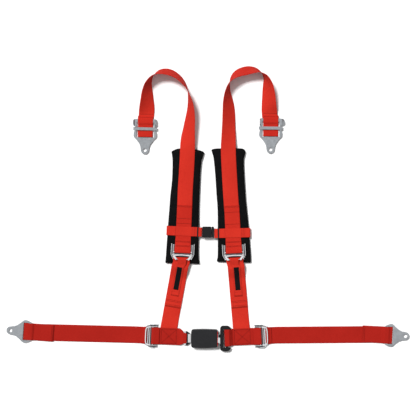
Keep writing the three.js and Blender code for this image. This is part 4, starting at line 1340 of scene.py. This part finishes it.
buckle_covers()
tongue_cover()
release_button()
buckle_anchor()
for side in SIDES:
    for kind in ("shoulder", "lap"):
        adjuster_frame(side, kind)
        adjuster_lever(side, kind)

for side in SIDES:
    pad(side)
    shoulder_strap(side)
    chest_strap(side)
    pull_tab(side)
    sternum_strap(side)
    outer_lap_strap(side)
    inner_lap_strap(side)


# ---------------------------------------------------------------- carried-over hardware

# The ending of a node's name, its material, and how far its edges are rounded, in millimetres.
FINISHES = [
    ("_bracket", ZINC, 0.5),
    ("_slide_bar", ZINC, 0.6),
    ("_adjuster_pin", STEEL, 0.4),
    ("tongue_plate", STEEL, 0.4),
    ("buckle_frame", STEEL, 0.3),
    ("pawl_pin", STEEL, 0.2),
    ("latch_pawl", STEEL, 0.3),
    ("_spring", STEEL, 0.0),
    ("ejector", BLACK_PLASTIC, 0.4),
    ("release_button", BUTTON, 0.4),
    ("_keeper", BLACK_PLASTIC, 0.5),
    ("sternum_clip_female", BLACK_PLASTIC, 0.8),
    ("sternum_clip_male", BLACK_PLASTIC, 0.8),
    ("sternum_prong_upper", BLACK_PLASTIC, 0.4),
    ("sternum_prong_lower", BLACK_PLASTIC, 0.4),
]

for name, node in frame["nodes"].items():
    found = [(material, edge) for ending, material, edge in FINISHES if name.endswith(ending)]
    if node.hide_render or not found:
        continue
    material, edge = found[0]
    node.data.materials.clear()
    node.data.materials.append(material)
    if edge:
        soften_edges(node, edge)


# ---------------------------------------------------------------- floor, light and camera

def floor():
    mesh = bpy.data.meshes.new("floor")
    reach = 6
    height = -1.5 * MM
    corners = ((-reach, -reach), (reach, -reach), (reach, reach), (-reach, reach))
    mesh.from_pydata([(x, y, height) for x, y in corners], [], [(0, 1, 2, 3)])
    look = Look("pale_floor")
    grain = look.noise(look.place(), 30, 2, 0.5)
    colour = look.ramp(grain, (0.3, 0.93), (0.7, 0.95))
    mesh.materials.append(look.finish(colour, look.span(grain, 0.8, 0.9)))
    piece = bpy.data.objects.new("floor", mesh)
    bpy.context.scene.collection.objects.link(piece)


def world_light():
    """Bright above and dark at the horizon, so that metal shows its form, before a plain pale backdrop."""
    world = bpy.data.worlds.new("studio")
    bpy.context.scene.world = world
    world.use_nodes = True
    sky = Graph(world.node_tree)
    way = sky.add("SeparateXYZ", {0: sky.add("TexCoord").outputs["Generated"]})
    levels = sky.ramp(way.outputs[2], (0.0, 0.03), (0.38, 0.06), (0.55, 1.0), (0.72, 1.0), (0.95, 0.95))
    rays = sky.add("LightPath").outputs
    strength = sky.span(rays["Is Glossy Ray"], 0.45, 0.95)
    studio = sky.add("Background", {"Color": levels, "Strength": strength})
    backdrop = sky.add("Background", {"Color": (1, 1, 1, 1)})
    shown = sky.add("MixShader", {0: rays["Is Camera Ray"], 1: studio.outputs[0], 2: backdrop.outputs[0]})
    sky.add("OutputWorld", {"Surface": shown.outputs[0]})


def sun(name, direction, strength, softness):
    """Light that travels along a direction. Mirror reflections leave it out and show the room alone."""
    data = bpy.data.lights.new(name, "SUN")
    data.energy = strength
    data.angle = math.radians(softness)
    lamp = bpy.data.objects.new(name, data)
    lamp.rotation_mode = "QUATERNION"
    lamp.rotation_quaternion = Vector(direction).to_track_quat("-Z", "Y")
    lamp.visible_glossy = False
    bpy.context.scene.collection.objects.link(lamp)


def camera():
    """Straight down over the middle of the layout."""
    height = 3.0
    width_seen = 1.2605
    data = bpy.data.cameras.new("overhead")
    data.sensor_width = 36
    data.lens = data.sensor_width * height / width_seen
    piece = bpy.data.objects.new("overhead", data)
    piece.location = (0, 0.0006, height)
    bpy.context.scene.collection.objects.link(piece)
    bpy.context.scene.camera = piece


floor()
world_light()
sun("key", (0.38, -0.42, -1.0), 3.6, 15)
camera()
bpy.context.scene.view_settings.view_transform = "Standard"
